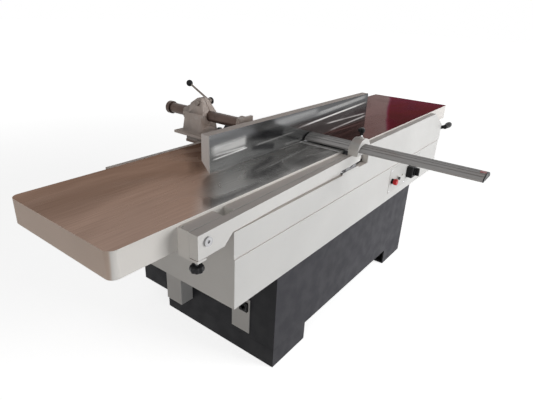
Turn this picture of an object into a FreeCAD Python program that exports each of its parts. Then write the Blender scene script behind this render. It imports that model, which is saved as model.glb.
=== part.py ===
import FreeCAD, Part
import math
import os

# Overhand surface planer, 530 mm wide, in millimetres.
# X runs along the feed (infeed side at +X), Y to the back, Z up.
# The origin lies on the floor, at the centre of the four anchor holes.

Vector = FreeCAD.Vector

# ---------------------------------------------------------------- driving sizes
# Tables
table_height = 900.0        # floor to table tops
table_width = 535.0
table_depth = 89.0          # height of the castings' rims
table_top_wall = 16.0
table_rim_wall = 14.0
outfeed_corner_radius = 28.0
infeed_corner_radius = 6.0
outfeed_length = 1196.0
infeed_length = 1386.0
rib_wall = 16.0
rib_pitch = 290.0
lip_seat = 8.0              # width of the rebate that each lip sits in
lip_depth = 32.0
lip_overhang = 31.0         # how far a lip reaches past its table's end
lip_slope_deg = 46.0        # direction in which a lip faces the cutter block
tooth_pitch = 12.0
tooth_slot = 6.0
tooth_length = 15.0

# Cutter block
cutter_x = -95.0
cutting_radius = 60.0
block_radius = 57.5
block_side_gap = 2.5        # block end to the table's side plane
journal_radius = 20.0
knife_count = 4
knife_thickness = 3.0
knife_height = 26.0
gib_width = 11.0
gib_height = 20.0
table_end_gap = 4.0         # cutting circle to a table's end
lip_cutter_gap = 1.2

# Cutter bearings and their supports
bearing_side_gap = 4.0
bearing_width = 18.0
bearing_radius = 40.0
housing_width = 26.0
housing_radius = 50.0
housing_foot_half = 70.0
housing_foot_depth = 18.0
housing_drop = 55.0         # cutter axis to the housings' seat
support_half = 75.0

# White body
sheet = 3.0                 # covers
body_wall = 6.0             # lower body
body_floor_wall = 8.0
body_outfeed_reach = 817.0  # from the cutter axis to the body's left end
body_infeed_reach = 1285.0
body_step = 4.0             # the lower body stands proud of the covers
body_overhang = 25.0        # the covers' right end beyond the lower body's
body_seam_drop = 209.0      # table top to the seam
body_rear_space = 62.5      # table's back side to the body's back
cover_drop = 102.0          # table top to the left part's edge
ledge_drop = 8.0            # table top to the right part's ledge
ledge_start = 172.0         # from the cutter axis
ledge_table_gap = 2.5
shoulder_length = 170.0
shoulder_drop = 95.0

# Base
foot_height = 95.0
cabinet_height = 390.0
base_length = 1426.0
base_centre_x = 76.0
base_setback = 9.0          # behind the body's front
cabinet_depth = 881.0
cabinet_wall = 4.0
foot_length = 255.0
foot_depth = 692.0
foot_wall = 8.0
sole_wall = 12.0
anchor_inset = 47.0
anchor_span_y = 480.0
anchor_hole_radius = 9.0

# Motor and belts
motor_offset_x = 250.0      # motor axis left of the cutter axis
motor_axis_height = 300.0
motor_radius = 105.0
motor_length = 300.0
motor_fin_count = 20
motor_shaft_radius = 19.0
motor_pitch_radius = 78.0
cutter_pitch_radius = 45.0
belt_count = 3
belt_width = 10.0
belt_half_depth = 4.0
belt_pitch = 15.0
belt_clearance = 0.3
pulley_rim = 2.0            # pulley's outside beyond the belts' middle
pulley_body_gap = 15.0      # body's back to the pulleys
belt_cover_depth = 94.0
belt_cover_margin = 50.0
belt_cover_rise = 65.0      # cutter axis to the cover's top
belt_cover_chamfer = 25.0
belt_cover_skirt = 60.0     # cutter axis to the end of the cover's upright sides
belt_cover_foot = (45.0, 215.0)   # foot's ends, left and right of the motor axis

# Dust extraction
chute_wall = 3.0
chute_top_half = 112.0
chute_duct_half = 75.0
chute_duct_offset = 115.0   # duct's centre right of the cutter axis
chute_duct_height = 250.0
spout_radius = 80.0
spout_length = 80.0
spout_wall = 3.0
flange_radius = 100.0

# Fence
fence_left = -772.0
fence_length = 1300.0
fence_face_y = -51.0
fence_height = 149.0
fence_thickness = 42.0
fence_chamfer = 43.0
fence_table_gap = 0.5
fence_plate = 12.0
fence_flange = 10.0
fence_rib_pitch = 216.0
fence_tilt_deg = 45.0
hinge_inset = 21.0          # hinge axis behind the face
hinge_rise = 7.6            # hinge axis above the table
knuckle_radius = 7.0
hinge_pin_radius = 3.5
hinge_width = 180.0
knuckle_width = 40.0
running_gap = 0.05
side_gap = 0.5

# Fence bar and carriage
bar_x = -400.0
bar_rise = 100.0            # bar's axis above the table
bar_radius = 25.0
bar_rear_y = 594.0
bar_collar_radius = 31.0
bar_collar_length = 24.0
bracket_width = 96.0
bracket_riser_y = 88.0
bracket_wall = 14.0
rail_left = -990.0
rail_right = -200.0
rail_thickness = 22.5
rail_height = 40.0
carriage_width = 174.0
carriage_plate_front = 288.0
carriage_plate_back = 469.0
carriage_plate_rise = 8.0
carriage_plate = 12.0
barrel_front = 310.0
barrel_back = 450.0
barrel_radius = 44.0
barrel_lug_rise = 80.0      # clamp lug's top above the bar's axis
clamp_y = 357.0
clamp_rise = 59.0           # clamp axis above the bar's axis
clamp_hub_radius = 14.0
clamp_lever_angle_deg = 26.0
clamp_lever_length = 152.0
clamp_rod_radius = 5.0
clamp_ball_radius = 16.0
split_width = 4.0
carriage_knob_offset = 75.0 # small knob's axis right of the bar
carriage_knob_y = 320.0
carriage_knob_radius = 11.0
carriage_stud_radius = 4.0
bracket_shelf_drop = 10.0   # table top to the shelf under the carriage

# Guard arm
arm_left = -1129.0
arm_right = -45.0
arm_drop = 10.0             # table top to the arm's top
arm_height = 48.0
arm_head_height = 82.0
arm_head_length = 115.0
arm_head_taper = 41.0
arm_left_outer = 88.5       # arm's faces, measured out from the table's side
arm_left_inner = 52.5
arm_right_outer = 49.5
arm_right_inner = 30.9
arm_pivot_inset = 39.0
arm_pivot_drop = 41.0       # table top to the pivot axis
pivot_radius = 8.0
pivot_head_radius = 15.5
arm_bracket_length = 145.0
arm_bracket_depth = 48.5
strip_left = -926.0
strip_right = -150.0
strip_gap = 4.0
strip_height = 40.0
knob_inset = 14.0
knob_out = 67.5             # height knob's axis out from the table's side
knob_radius = 20.0
knob_height = 22.0
knob_stud_radius = 5.0
tab_gap = 6.0
tab_thickness = 8.0

# Bridge guard
guard_x = -85.0
guard_width = 104.0
guard_rise = 8.0            # guard's underside above the table
guard_crown = 28.0
guard_edge = 7.0
guard_wall = 3.0
guard_length = 815.0
guard_fence_gap = 4.0
guard_cap = 4.0
guard_rib_count = 6
holder_half = 62.0
holder_front_out = 79.5     # from the table's side
holder_back_out = 31.5
holder_side_height = 25.0
holder_height = 72.0
holder_gap = 0.5
guard_knob_radius = 14.0
guard_knob_height = 23.0
guard_knob_rise = 84.0

# Controls
panel_left = 400.0
panel_length = 460.0
panel_bottom = 530.0
panel_height = 150.0
panel_plate = 2.0
controls_height = 599.0
stop_x = 438.0
stop_radius = 17.5
start_x = 513.0
lamp_x = 585.0
switch_x = 690.0
switch_size = 70.0
switch_depth = 38.0
press_stop = 4.0
press_start = 3.0
stop_stem_radius = 7.0
start_stem_radius = 5.0
button_way_radius = 9.0     # holes behind the buttons, in the body's front

# Left face of the base
socket_y = -106.0
socket_plate_width = 104.0
socket_plate_bottom = 118.0
socket_plate_height = 182.0
box_y = 263.5
box_width = 103.0
box_depth = 74.0
box_bottom = 133.0
box_height = 257.0
gland_radius = 13.0

# Infeed lift
lift_drop = 8.0
link_length = 100.0
link_pivot_offsets = (345.0, 1095.0)   # shaft axes from the cutter axis
lift_shaft_radius = 18.0
lift_pin_radius = 12.0
lift_pin_gap = 0.3
lift_pin_drop = 130.0       # table top to the upper pins
lug_y = 160.0
lug_width = 20.0
lug_radius = 24.0
link_plate = 12.0
lift_block_half = 35.0
lift_block_width = 40.0
lever_y = -200.0
lever_drop = 155.0          # table top to the lever's shaft
lever_shaft_radius = 12.0
lever_grip_y = -325.0
lever_grip_rise = 35.0
lever_grip_radius = 17.0
lever_grip_length = 96.0
body_gap = 0.3              # between faces of bodies that move past each other

# ---------------------------------------------------------------- derived sizes
side = table_width / 2
table_bottom = table_height - table_depth
cutter_z = table_height - cutting_radius
mouth_half = cutting_radius + table_end_gap
outfeed_end = cutter_x - mouth_half
infeed_end = cutter_x + mouth_half
outfeed_left = outfeed_end - outfeed_length
infeed_right = infeed_end + infeed_length
housing_inner = side + bearing_side_gap
housing_outer = housing_inner + housing_width
housing_seat = cutter_z - housing_drop

upper_front = -(housing_outer + body_gap + 0.2 + sheet)
body_front = upper_front - body_step
body_back = side + body_rear_space
body_left = cutter_x - body_outfeed_reach
body_right = cutter_x + body_infeed_reach
upper_right = body_right + body_overhang
body_floor = foot_height + cabinet_height
body_floor_top = body_floor + body_floor_wall
body_seam = table_height - body_seam_drop
cover_top = table_height - cover_drop
ledge_top = table_height - ledge_drop

base_left = base_centre_x - base_length / 2
base_right = base_centre_x + base_length / 2
base_front = body_front + base_setback
cabinet_back = base_front + cabinet_depth
anchor_x = -(base_left + anchor_inset)

motor_x = cutter_x - motor_offset_x
pulley_front = body_back + pulley_body_gap
pulley_width = belt_count * belt_pitch + 5.0
pulley_back = pulley_front + pulley_width

hinge_y = fence_face_y + hinge_inset
hinge_z = table_height + hinge_rise
bar_z = table_height + bar_rise
arm_top = table_height - arm_drop
arm_pivot_x = arm_left + arm_pivot_inset
arm_pivot_z = table_height - arm_pivot_drop
arm_head_bottom = arm_top - arm_head_height
knob_x = arm_left + knob_inset
knob_y = -(side + knob_out)
guard_bottom = table_height + guard_rise
guard_back = fence_face_y - guard_fence_gap
guard_front = guard_back - guard_length
link_swing = 2 * math.asin(lift_drop * math.sqrt(2) / 2 / link_length)
link_angle = math.pi / 4 + link_swing / 2
lift_pin_z = table_height - lift_pin_drop
lift_shaft_z = lift_pin_z - link_length * math.sin(link_angle)
link_run = link_length * math.cos(link_angle)

nodes = {}


# ---------------------------------------------------------------- helpers
def box(x, y, z):
    """Block from (low, high) pairs along X, Y and Z."""
    return Part.makeBox(x[1] - x[0], y[1] - y[0], z[1] - z[0], Vector(x[0], y[0], z[0]))


def place(axis, across, along):
    """Point from its two coordinates across an axis and the one along it."""
    values = list(across)
    values.insert("xyz".index(axis), along)
    return Vector(*values)


def direction(axis):
    """Unit vector of a named axis."""
    return place(axis, (0, 0), 1)


def cylinder(axis, centre, radius, start, end):
    """Cylinder along a named axis, between two places on it."""
    return Part.makeCylinder(radius, end - start, place(axis, centre, start), direction(axis))


def cone(axis, centre, start_radius, end_radius, start, end):
    """Cone along a named axis, between two places on it."""
    return Part.makeCone(start_radius, end_radius, end - start, place(axis, centre, start), direction(axis))


def tube(axis, centre, radius, bore, start, end):
    """Round tube along a named axis."""
    return cylinder(axis, centre, radius, start, end).cut(cylinder(axis, centre, bore, start, end))


def prism(axis, outline, start, end):
    """Polygon drawn across a named axis, drawn out between two places on it."""
    corners = [place(axis, point, start) for point in outline]
    face = Part.Face(Part.makePolygon(corners + corners[:1]))
    return face.extrude(direction(axis) * (end - start))


def fuse(*shapes):
    """One solid from touching shapes, with no seams left inside."""
    return shapes[0].multiFuse(list(shapes[1:])).removeSplitter()


def group(shapes):
    """Separate solids in one node."""
    return Part.makeCompound(list(shapes))


def both_sides(shape):
    """A shape and its mirror image across the XZ plane."""
    return shape, shape.mirror(Vector(0, 0, 0), Vector(0, 1, 0))


def round_edges(shape, radius, wanted):
    """Fillet the edges that the test picks by their middle point and box."""
    edges = [edge for edge in shape.Edges if wanted(edge.CenterOfMass, edge.BoundBox)]
    return shape.makeFillet(radius, edges)


def turned(shape, centre, axis, degrees):
    """Copy turned about an axis through a point."""
    copy = shape.copy()
    copy.rotate(centre, direction(axis), degrees)
    return copy


def hexagon(axis, centre, across_flats, start, end):
    """Hexagonal bar, such as a bolt's head."""
    radius = across_flats / math.sqrt(3)
    outline = [(centre[0] + radius * math.cos(i * math.pi / 3),
                centre[1] + radius * math.sin(i * math.pi / 3)) for i in range(6)]
    return prism(axis, outline, start, end)


def steps(low, high, pitch):
    """Even places from low to high, about a pitch apart, without the two ends."""
    count = max(1, round((high - low) / pitch))
    return [low + (high - low) * i / count for i in range(1, count)]


# ---------------------------------------------------------------- base
def make_base():
    """Cabinet, its two feet and what is on its left face."""
    x = (base_left, base_right)
    y = (base_front, cabinet_back)
    outer = box(x, y, (foot_height, body_floor))
    inner = box((x[0] + cabinet_wall, x[1] - cabinet_wall), (y[0] + cabinet_wall, y[1] - cabinet_wall),
                (foot_height + cabinet_wall, body_floor - cabinet_wall))
    middle_opening = box((base_left + 60, base_right - 60), (base_front + 60, body_back - 30),
                         (body_floor - 2 * cabinet_wall, body_floor + 1))
    belt_opening = box((motor_x - belt_cover_foot[0] + 2 * sheet, motor_x + belt_cover_foot[1] - 2 * sheet),
                       (body_back + 2 * sheet, body_back + belt_cover_depth - 2 * sheet),
                       (body_floor - 2 * cabinet_wall, body_floor + 1))
    duct_x = cutter_x + chute_duct_offset
    spout_hole = cylinder("y", (duct_x, chute_duct_height), spout_radius - spout_wall, cabinet_back - 10,
                          cabinet_back + 1)
    nodes["base_cabinet"] = outer.cut([inner, middle_opening, belt_opening, spout_hole])

    feet = []
    for low, high, open_side in ((base_left, base_left + foot_length, 1), (base_right - foot_length, base_right, -1)):
        foot_y = (base_front, base_front + foot_depth)
        foot = box((low, high), foot_y, (0, foot_height))
        hollow_x = (low + foot_wall, high + 1) if open_side > 0 else (low - 1, high - foot_wall)
        hollow = box(hollow_x, (foot_y[0] + foot_wall, foot_y[1] - foot_wall),
                     (sole_wall, foot_height - foot_wall))
        holes = [cylinder("z", (-open_side * anchor_x, hole_y), anchor_hole_radius, -1, sole_wall + 1)
                 for hole_y in (-anchor_span_y / 2, anchor_span_y / 2)]
        feet.append(foot.cut([hollow] + holes))
    nodes["base_feet"] = group(feet)


def make_left_face():
    """Socket plate and electrical box on the base's left face."""
    plate_x = (base_left - 4, base_left)
    nodes["socket_plate"] = box(plate_x, (socket_y - socket_plate_width / 2, socket_y + socket_plate_width / 2),
                                (socket_plate_bottom, socket_plate_bottom + socket_plate_height))
    outlet_centre = (socket_y - 22, socket_plate_bottom + socket_plate_height - 40)
    body = cylinder("x", outlet_centre, 26, plate_x[0] - 30, plate_x[0])
    collar = cylinder("x", outlet_centre, 22, plate_x[0] - 44, plate_x[0] - 30)
    recess = cylinder("x", outlet_centre, 18, plate_x[0] - 45, plate_x[0] - 14)
    nodes["power_outlet"] = fuse(body, collar).cut(recess)

    lid = 12.0
    box_z = (box_bottom, box_bottom + box_height)
    box_yy = (box_y - box_width / 2, box_y + box_width / 2)
    front_x = base_left - box_depth
    case = box((front_x + lid, base_left), box_yy, box_z)
    hollow = box((front_x + lid - 1, base_left - 3), (box_yy[0] + 3, box_yy[1] - 3), (box_z[0] + 3, box_z[1] - 3))
    gland_hole = cylinder("z", (base_left - box_depth / 2, box_y), 8, box_z[0] - 1, box_z[0] + 4)
    nodes["electrical_box"] = case.cut([hollow, gland_hole])
    nodes["electrical_box_lid"] = round_edges(box((front_x, front_x + lid), box_yy, box_z), 3,
                                              lambda mid, size: size.XMax < front_x + 0.01)
    gland = fuse(hexagon("z", (base_left - box_depth / 2, box_y), 2 * gland_radius, box_z[0] - 10, box_z[0]),
                 cone("z", (base_left - box_depth / 2, box_y), 8, 12, box_z[0] - 24, box_z[0] - 10))
    nodes["cable_gland"] = gland.cut(cylinder("z", (base_left - box_depth / 2, box_y), 6, box_z[0] - 25, box_z[0] + 1))


# ---------------------------------------------------------------- white body
def chute_opening(low, high, grow=0.0):
    """Rectangular way through the body's floor for the chute's duct."""
    centre = cutter_x + chute_duct_offset
    half = chute_duct_half + grow
    return box((centre - half, centre + half), (-half, half), (low, high))


def make_body():
    """Lower welded body and the covers that close it up to the tables."""
    outer = box((body_left, body_right), (body_front, body_back), (body_floor, body_seam))
    inner = box((body_left + body_wall, body_right - body_wall), (body_front + body_wall, body_back - body_wall),
                (body_floor_top, body_seam + 1))
    button_ways = [cylinder("y", (x, controls_height), button_way_radius, body_front - 1, body_front + body_wall + 1)
                   for x in (stop_x, start_x)]
    nodes["lower_body"] = outer.cut([inner, chute_opening(body_floor - 1, body_floor_top + 1)] + button_ways)

    ledge_left = cutter_x + ledge_start
    front_outline = [(body_left, body_seam), (upper_right, body_seam), (upper_right, ledge_top - shoulder_drop),
                     (upper_right - shoulder_length, ledge_top), (ledge_left, ledge_top),
                     (ledge_left, cover_top), (body_left, cover_top)]
    ledge_y = (upper_front, -(side + ledge_table_gap))
    front = fuse(prism("y", front_outline, upper_front, upper_front + sheet),
                 box((ledge_left, upper_right - shoulder_length), ledge_y, (ledge_top - sheet, ledge_top)),
                 box((ledge_left, ledge_left + sheet), ledge_y, (cover_top, ledge_top)))
    ends_y = (upper_front + sheet, body_back - sheet)
    left_end = box((body_left, body_left + sheet), ends_y, (body_seam, cover_top))
    back = box((body_left, upper_right), (body_back - sheet, body_back), (body_seam, cover_top - 1))
    lever_axis = (lever_y, table_height - lever_drop)
    right_end = fuse(box((upper_right - sheet, upper_right), ends_y, (body_seam, cover_top - 1)),
                     box((body_right - body_wall, upper_right), ends_y, (body_seam, body_seam + sheet)),
                     cylinder("x", lever_axis, lever_shaft_radius + 12, upper_right - 24, upper_right - sheet))
    right_end = right_end.cut(cylinder("x", lever_axis, lever_shaft_radius + running_gap, upper_right - 25,
                                       upper_right + 1))
    nodes["body_covers"] = group([front, left_end, right_end, back])

    plate = box((cutter_x - support_half, cutter_x + support_half), (housing_inner, housing_outer),
                (body_floor_top, housing_seat))
    nodes["cutter_supports"] = group(both_sides(plate))
    post_half = 25.0
    post_places = [(x, y) for x in (body_left + 62, outfeed_end - 91) for y in (-1, 1)]
    posts = []
    for x, y_sign in post_places:
        low, high = sorted((y_sign * (side - 92.5), y_sign * (side - 42.5)))
        posts.append(box((x - post_half, x + post_half), (low, high), (body_floor_top, table_bottom)))
    nodes["outfeed_posts"] = group(posts)


# ---------------------------------------------------------------- tables
def make_table(x, free_end, mouth_end, corner_radius, lug_places):
    """Ribbed table casting between two X places, with its rebate for the lip."""
    low, high = x
    y = (-side, side)
    outer = box(x, y, (table_bottom, table_height))
    outer = round_edges(outer, corner_radius,
                        lambda mid, size: size.ZLength > 1 and abs(mid.x - free_end) < 1)
    rim = table_rim_wall
    walls_x = [low + rim] + steps(low, high, rib_pitch) + [high - rim]
    walls_y = [-side + rim, -(side - 67.5), 0, side - 67.5, side - rim]
    pockets = []
    for start, end in zip(walls_x, walls_x[1:]):
        left = start if start == walls_x[0] else start + rib_wall / 2
        right = end if end == walls_x[-1] else end - rib_wall / 2
        for near, far in zip(walls_y, walls_y[1:]):
            front = near if near == walls_y[0] else near + rib_wall / 2
            back = far if far == walls_y[-1] else far - rib_wall / 2
            pockets.append(box((left, right), (front, back), (table_bottom - 1, table_height - table_top_wall)))
    toward = 1 if mouth_end > free_end else -1
    rebate_x = sorted((mouth_end, mouth_end - toward * lip_seat))
    rebate = box((rebate_x[0], rebate_x[1]), y, (table_height - lip_depth, table_height))
    seat_x = sorted((mouth_end, mouth_end - toward * (lip_seat + rim)))
    seat = box((seat_x[0], seat_x[1]), y, (table_bottom, table_height))
    casting = outer.cut(pockets).fuse(seat).cut(rebate)
    lugs = []
    for lug_x in lug_places:
        hanger = box((lug_x - lug_radius, lug_x + lug_radius), (lug_y - lug_width / 2, lug_y + lug_width / 2),
                     (lift_pin_z, table_height - table_top_wall / 2))
        eye = cylinder("y", (lug_x, lift_pin_z), lug_radius, lug_y - lug_width / 2, lug_y + lug_width / 2)
        lug = hanger.fuse(eye).cut(cylinder("y", (lug_x, lift_pin_z), lift_pin_radius + lift_pin_gap,
                                            lug_y - lug_width, lug_y + lug_width))
        lugs.extend(both_sides(lug))
    return fuse(casting, *lugs) if lugs else casting.removeSplitter()


def make_lip(mouth_end, toward):
    """Toothed steel lip at a table's mouth; toward is the sign of X to the cutter."""
    slope = math.radians(lip_slope_deg)
    reach = cutting_radius + lip_cutter_gap
    tip = mouth_half - lip_overhang
    tip_z = cutter_z + (reach - tip * math.cos(slope)) / math.sin(slope)
    bottom = table_height - lip_depth
    under = (reach - (bottom - cutter_z) * math.sin(slope)) / math.cos(slope)
    root = mouth_half + lip_seat
    outline = [(cutter_x - toward * offset, z) for offset, z in
               ((tip, table_height), (root, table_height), (root, bottom), (under, bottom), (tip, tip_z))]
    lip = prism("y", outline, -side, side)
    slots = []
    count = int(table_width // tooth_pitch) - 1
    slot_x = sorted((cutter_x - toward * (tip - 1), cutter_x - toward * (tip + tooth_length)))
    for i in range(count):
        middle = (i - (count - 1) / 2) * tooth_pitch
        slots.append(box((slot_x[0], slot_x[1]), (middle - tooth_slot / 2, middle + tooth_slot / 2),
                         (bottom - 1, table_height + 1)))
    return lip.cut(slots)


def make_tables():
    """Both tables with their lips."""
    nodes["outfeed_table"] = make_table((outfeed_left, outfeed_end), outfeed_left, outfeed_end,
                                        outfeed_corner_radius, ())
    nodes["outfeed_lip"] = make_lip(outfeed_end, 1)
    pins = [cutter_x + offset + link_run for offset in link_pivot_offsets]
    nodes["infeed_table"] = make_table((infeed_end, infeed_right), infeed_right, infeed_end,
                                       infeed_corner_radius, pins)
    nodes["infeed_lip"] = make_lip(infeed_end, -1)


def make_lift():
    """Links that carry the infeed table, their blocks and the height lever."""
    blocks = []
    for name, offset in zip(("inner_lift_link", "outer_lift_link"), link_pivot_offsets):
        x = cutter_x + offset
        block_y = lug_y + lug_width / 2 + body_gap + link_plate + 2
        block = fuse(box((x - lift_block_half, x + lift_block_half), (block_y, block_y + lift_block_width),
                         (body_floor_top, lift_shaft_z)),
                     cylinder("y", (x, lift_shaft_z), lift_block_half, block_y, block_y + lift_block_width))
        block = block.cut(cylinder("y", (x, lift_shaft_z), lift_shaft_radius + running_gap, 0,
                                   block_y + lift_block_width + 1))
        blocks.extend(both_sides(block))

        shaft = cylinder("y", (x, lift_shaft_z), lift_shaft_radius, -(block_y + lift_block_width + 5),
                         block_y + lift_block_width + 5)
        plate_y = (lug_y + lug_width / 2 + body_gap, lug_y + lug_width / 2 + body_gap + link_plate)
        arm = fuse(cylinder("y", (x, lift_shaft_z), lug_radius + 6, *plate_y),
                   cylinder("y", (x + link_run, lift_pin_z), lug_radius - 4, *plate_y),
                   turned(box((x, x + link_length), plate_y, (lift_shaft_z - 14, lift_shaft_z + 14)),
                          Vector(x, 0, lift_shaft_z), "y", -math.degrees(link_angle)))
        pin = cylinder("y", (x + link_run, lift_pin_z), lift_pin_radius, lug_y - lug_width / 2 - 4, plate_y[0])
        nodes[name] = fuse(shaft, *both_sides(arm), *both_sides(pin))
    nodes["lift_blocks"] = group(blocks)

    lever_z = table_height - lever_drop
    hub_x = upper_right + body_gap
    grip_z = lever_z + lever_grip_rise
    shaft = cylinder("x", (lever_y, lever_z), lever_shaft_radius, upper_right - 30, hub_x)
    hub = cylinder("x", (lever_y, lever_z), 22, hub_x, hub_x + 18)
    reach = math.hypot(lever_grip_y - lever_y, lever_grip_rise)
    rise = math.degrees(math.atan2(lever_grip_rise, lever_grip_y - lever_y))
    bar = turned(box((hub_x + 3, hub_x + 15), (lever_y, lever_y + reach), (lever_z - 11, lever_z + 11)),
                 Vector(0, lever_y, lever_z), "x", rise)
    eye = cylinder("x", (lever_grip_y, grip_z), 15, hub_x + 3, hub_x + 15)
    stem = cylinder("x", (lever_grip_y, grip_z), 7, hub_x + 15, hub_x + lever_grip_length)
    nodes["height_lever"] = fuse(shaft, hub, bar, eye, stem)
    grip_start = hub_x + 15
    grip = fuse(cone("x", (lever_grip_y, grip_z), lever_grip_radius - 4, lever_grip_radius, grip_start,
                     grip_start + lever_grip_length - 20),
                Part.makeSphere(lever_grip_radius, Vector(grip_start + lever_grip_length - 20,
                                                          lever_grip_y, grip_z)))
    nodes["height_lever_grip"] = grip.cut(cylinder("x", (lever_grip_y, grip_z), 7, grip_start - 1,
                                                   hub_x + lever_grip_length))


# ---------------------------------------------------------------- cutter block
def make_cutter():
    """Cutter block with its knives, gibs, pulley, bearings and housings."""
    half = side - block_side_gap
    body = cylinder("y", (cutter_x, cutter_z), block_radius, -half, half)
    journals = cylinder("y", (cutter_x, cutter_z), journal_radius, -(housing_outer - 2), pulley_back)
    slots, knives, gibs = [], [], []
    centre = Vector(cutter_x, 0, cutter_z)
    knife_x = (cutter_x, cutter_x + knife_thickness)
    gib_x = (knife_x[1], knife_x[1] + gib_width)
    slot_floor = cutter_z + cutting_radius - knife_height
    for i in range(knife_count):
        turn = 45 + 360 * i / knife_count
        slot = box((knife_x[0], gib_x[1]), (-half - 1, half + 1), (slot_floor, cutter_z + cutting_radius + 1))
        gullet = cylinder("y", (gib_x[1] - 2, cutter_z + block_radius + 2), 9, -half - 1, half + 1)
        slots.extend((turned(slot, centre, "y", turn), turned(gullet, centre, "y", turn)))
        edge = [(knife_x[0], slot_floor), (knife_x[1], slot_floor), (knife_x[1], cutter_z + cutting_radius - 3.5),
                (knife_x[0], cutter_z + cutting_radius - 0.3)]
        knives.append(turned(prism("y", edge, -half, half), centre, "y", turn))
        gib = box(gib_x, (-half, half), (slot_floor, slot_floor + gib_height - 4))
        screws = [cylinder("x", (y, slot_floor + 8), 4, gib_x[0] + 2, gib_x[1] - 0.5)
                  for y in steps(-half, half, 75.0)]
        gibs.append(turned(gib.cut(screws), centre, "y", turn))
    nodes["cutter_block"] = fuse(body, journals).cut(slots)
    nodes["cutter_knives"] = group(knives)
    nodes["cutter_gibs"] = group(gibs)

    inset = (housing_width - bearing_width) / 2
    bearing = tube("y", (cutter_x, cutter_z), bearing_radius, journal_radius + running_gap,
                   housing_inner + inset, housing_outer - inset)
    nodes["cutter_bearings"] = group(both_sides(bearing))
    housing = fuse(box((cutter_x - housing_radius, cutter_x + housing_radius), (housing_inner, housing_outer),
                       (housing_seat, cutter_z)),
                   cylinder("y", (cutter_x, cutter_z), housing_radius, housing_inner, housing_outer),
                   box((cutter_x - housing_foot_half, cutter_x + housing_foot_half),
                       (housing_inner, housing_outer), (housing_seat, housing_seat + housing_foot_depth)))
    bore = [cylinder("y", (cutter_x, cutter_z), bearing_radius, housing_inner + inset, housing_outer - inset),
            cylinder("y", (cutter_x, cutter_z), journal_radius + 6, housing_inner - 1, housing_outer + 1)]
    nodes["bearing_housings"] = group(both_sides(housing.cut(bore)))
    bolts = []
    for x in (cutter_x - 60, cutter_x + 60):
        middle = (housing_inner + housing_outer) / 2
        bolts.append(hexagon("z", (x, middle), 17, housing_seat + housing_foot_depth,
                             housing_seat + housing_foot_depth + 8))
        bolts.append(hexagon("z", (x, -middle), 17, housing_seat + housing_foot_depth,
                             housing_seat + housing_foot_depth + 8))
    nodes["housing_bolts"] = group(bolts)


# ---------------------------------------------------------------- drive
def pulley(centre, pitch_radius, bore):
    """Grooved pulley along Y for the row of belts."""
    rim = pitch_radius + pulley_rim
    blank = tube("y", centre, rim, bore, pulley_front, pulley_back)
    grooves = []
    for i in range(belt_count):
        middle = pulley_front + pulley_width / 2 + (i - (belt_count - 1) / 2) * belt_pitch
        grooves.append(tube("y", centre, rim + 1, pitch_radius - belt_half_depth - belt_clearance,
                            middle - belt_width / 2 - belt_clearance, middle + belt_width / 2 + belt_clearance))
    return blank.cut(grooves)


def belt_loop(grow):
    """Closed outline round both pulleys, grown outward from the belts' middle line."""
    small = cutter_pitch_radius + grow
    large = motor_pitch_radius + grow
    span = Vector(cutter_x - motor_x, 0, cutter_z - motor_axis_height)
    lean = math.atan2(span.z, span.x)
    offset = math.acos((large - small) / span.Length)

    def at(centre, radius, angle):
        return Vector(centre[0] + radius * math.cos(angle), 0, centre[1] + radius * math.sin(angle))
    motor = (motor_x, motor_axis_height)
    cutter = (cutter_x, cutter_z)
    first, second = at(motor, large, lean + offset), at(cutter, small, lean + offset)
    third, fourth = at(cutter, small, lean - offset), at(motor, large, lean - offset)
    edges = [Part.LineSegment(first, second).toShape(),
             Part.Arc(second, at(cutter, small, lean), third).toShape(),
             Part.LineSegment(third, fourth).toShape(),
             Part.Arc(fourth, at(motor, large, lean + math.pi), first).toShape()]
    return Part.Wire(edges)


def cover_outline(inset, foot_z):
    """Belt cover's outline, taken in by an inset, from its foot up round the cutter pulley."""
    half = cutter_pitch_radius + belt_cover_margin - inset
    top = cutter_z + belt_cover_rise - inset
    corner = belt_cover_chamfer
    low = cutter_z - belt_cover_skirt
    return [(motor_x - belt_cover_foot[0] + 2 * inset, foot_z), (motor_x + belt_cover_foot[1] - 2 * inset, foot_z),
            (cutter_x + half, low), (cutter_x + half, top - corner), (cutter_x + half - corner, top),
            (cutter_x - half + corner, top), (cutter_x - half, top - corner), (cutter_x - half, low)]


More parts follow.
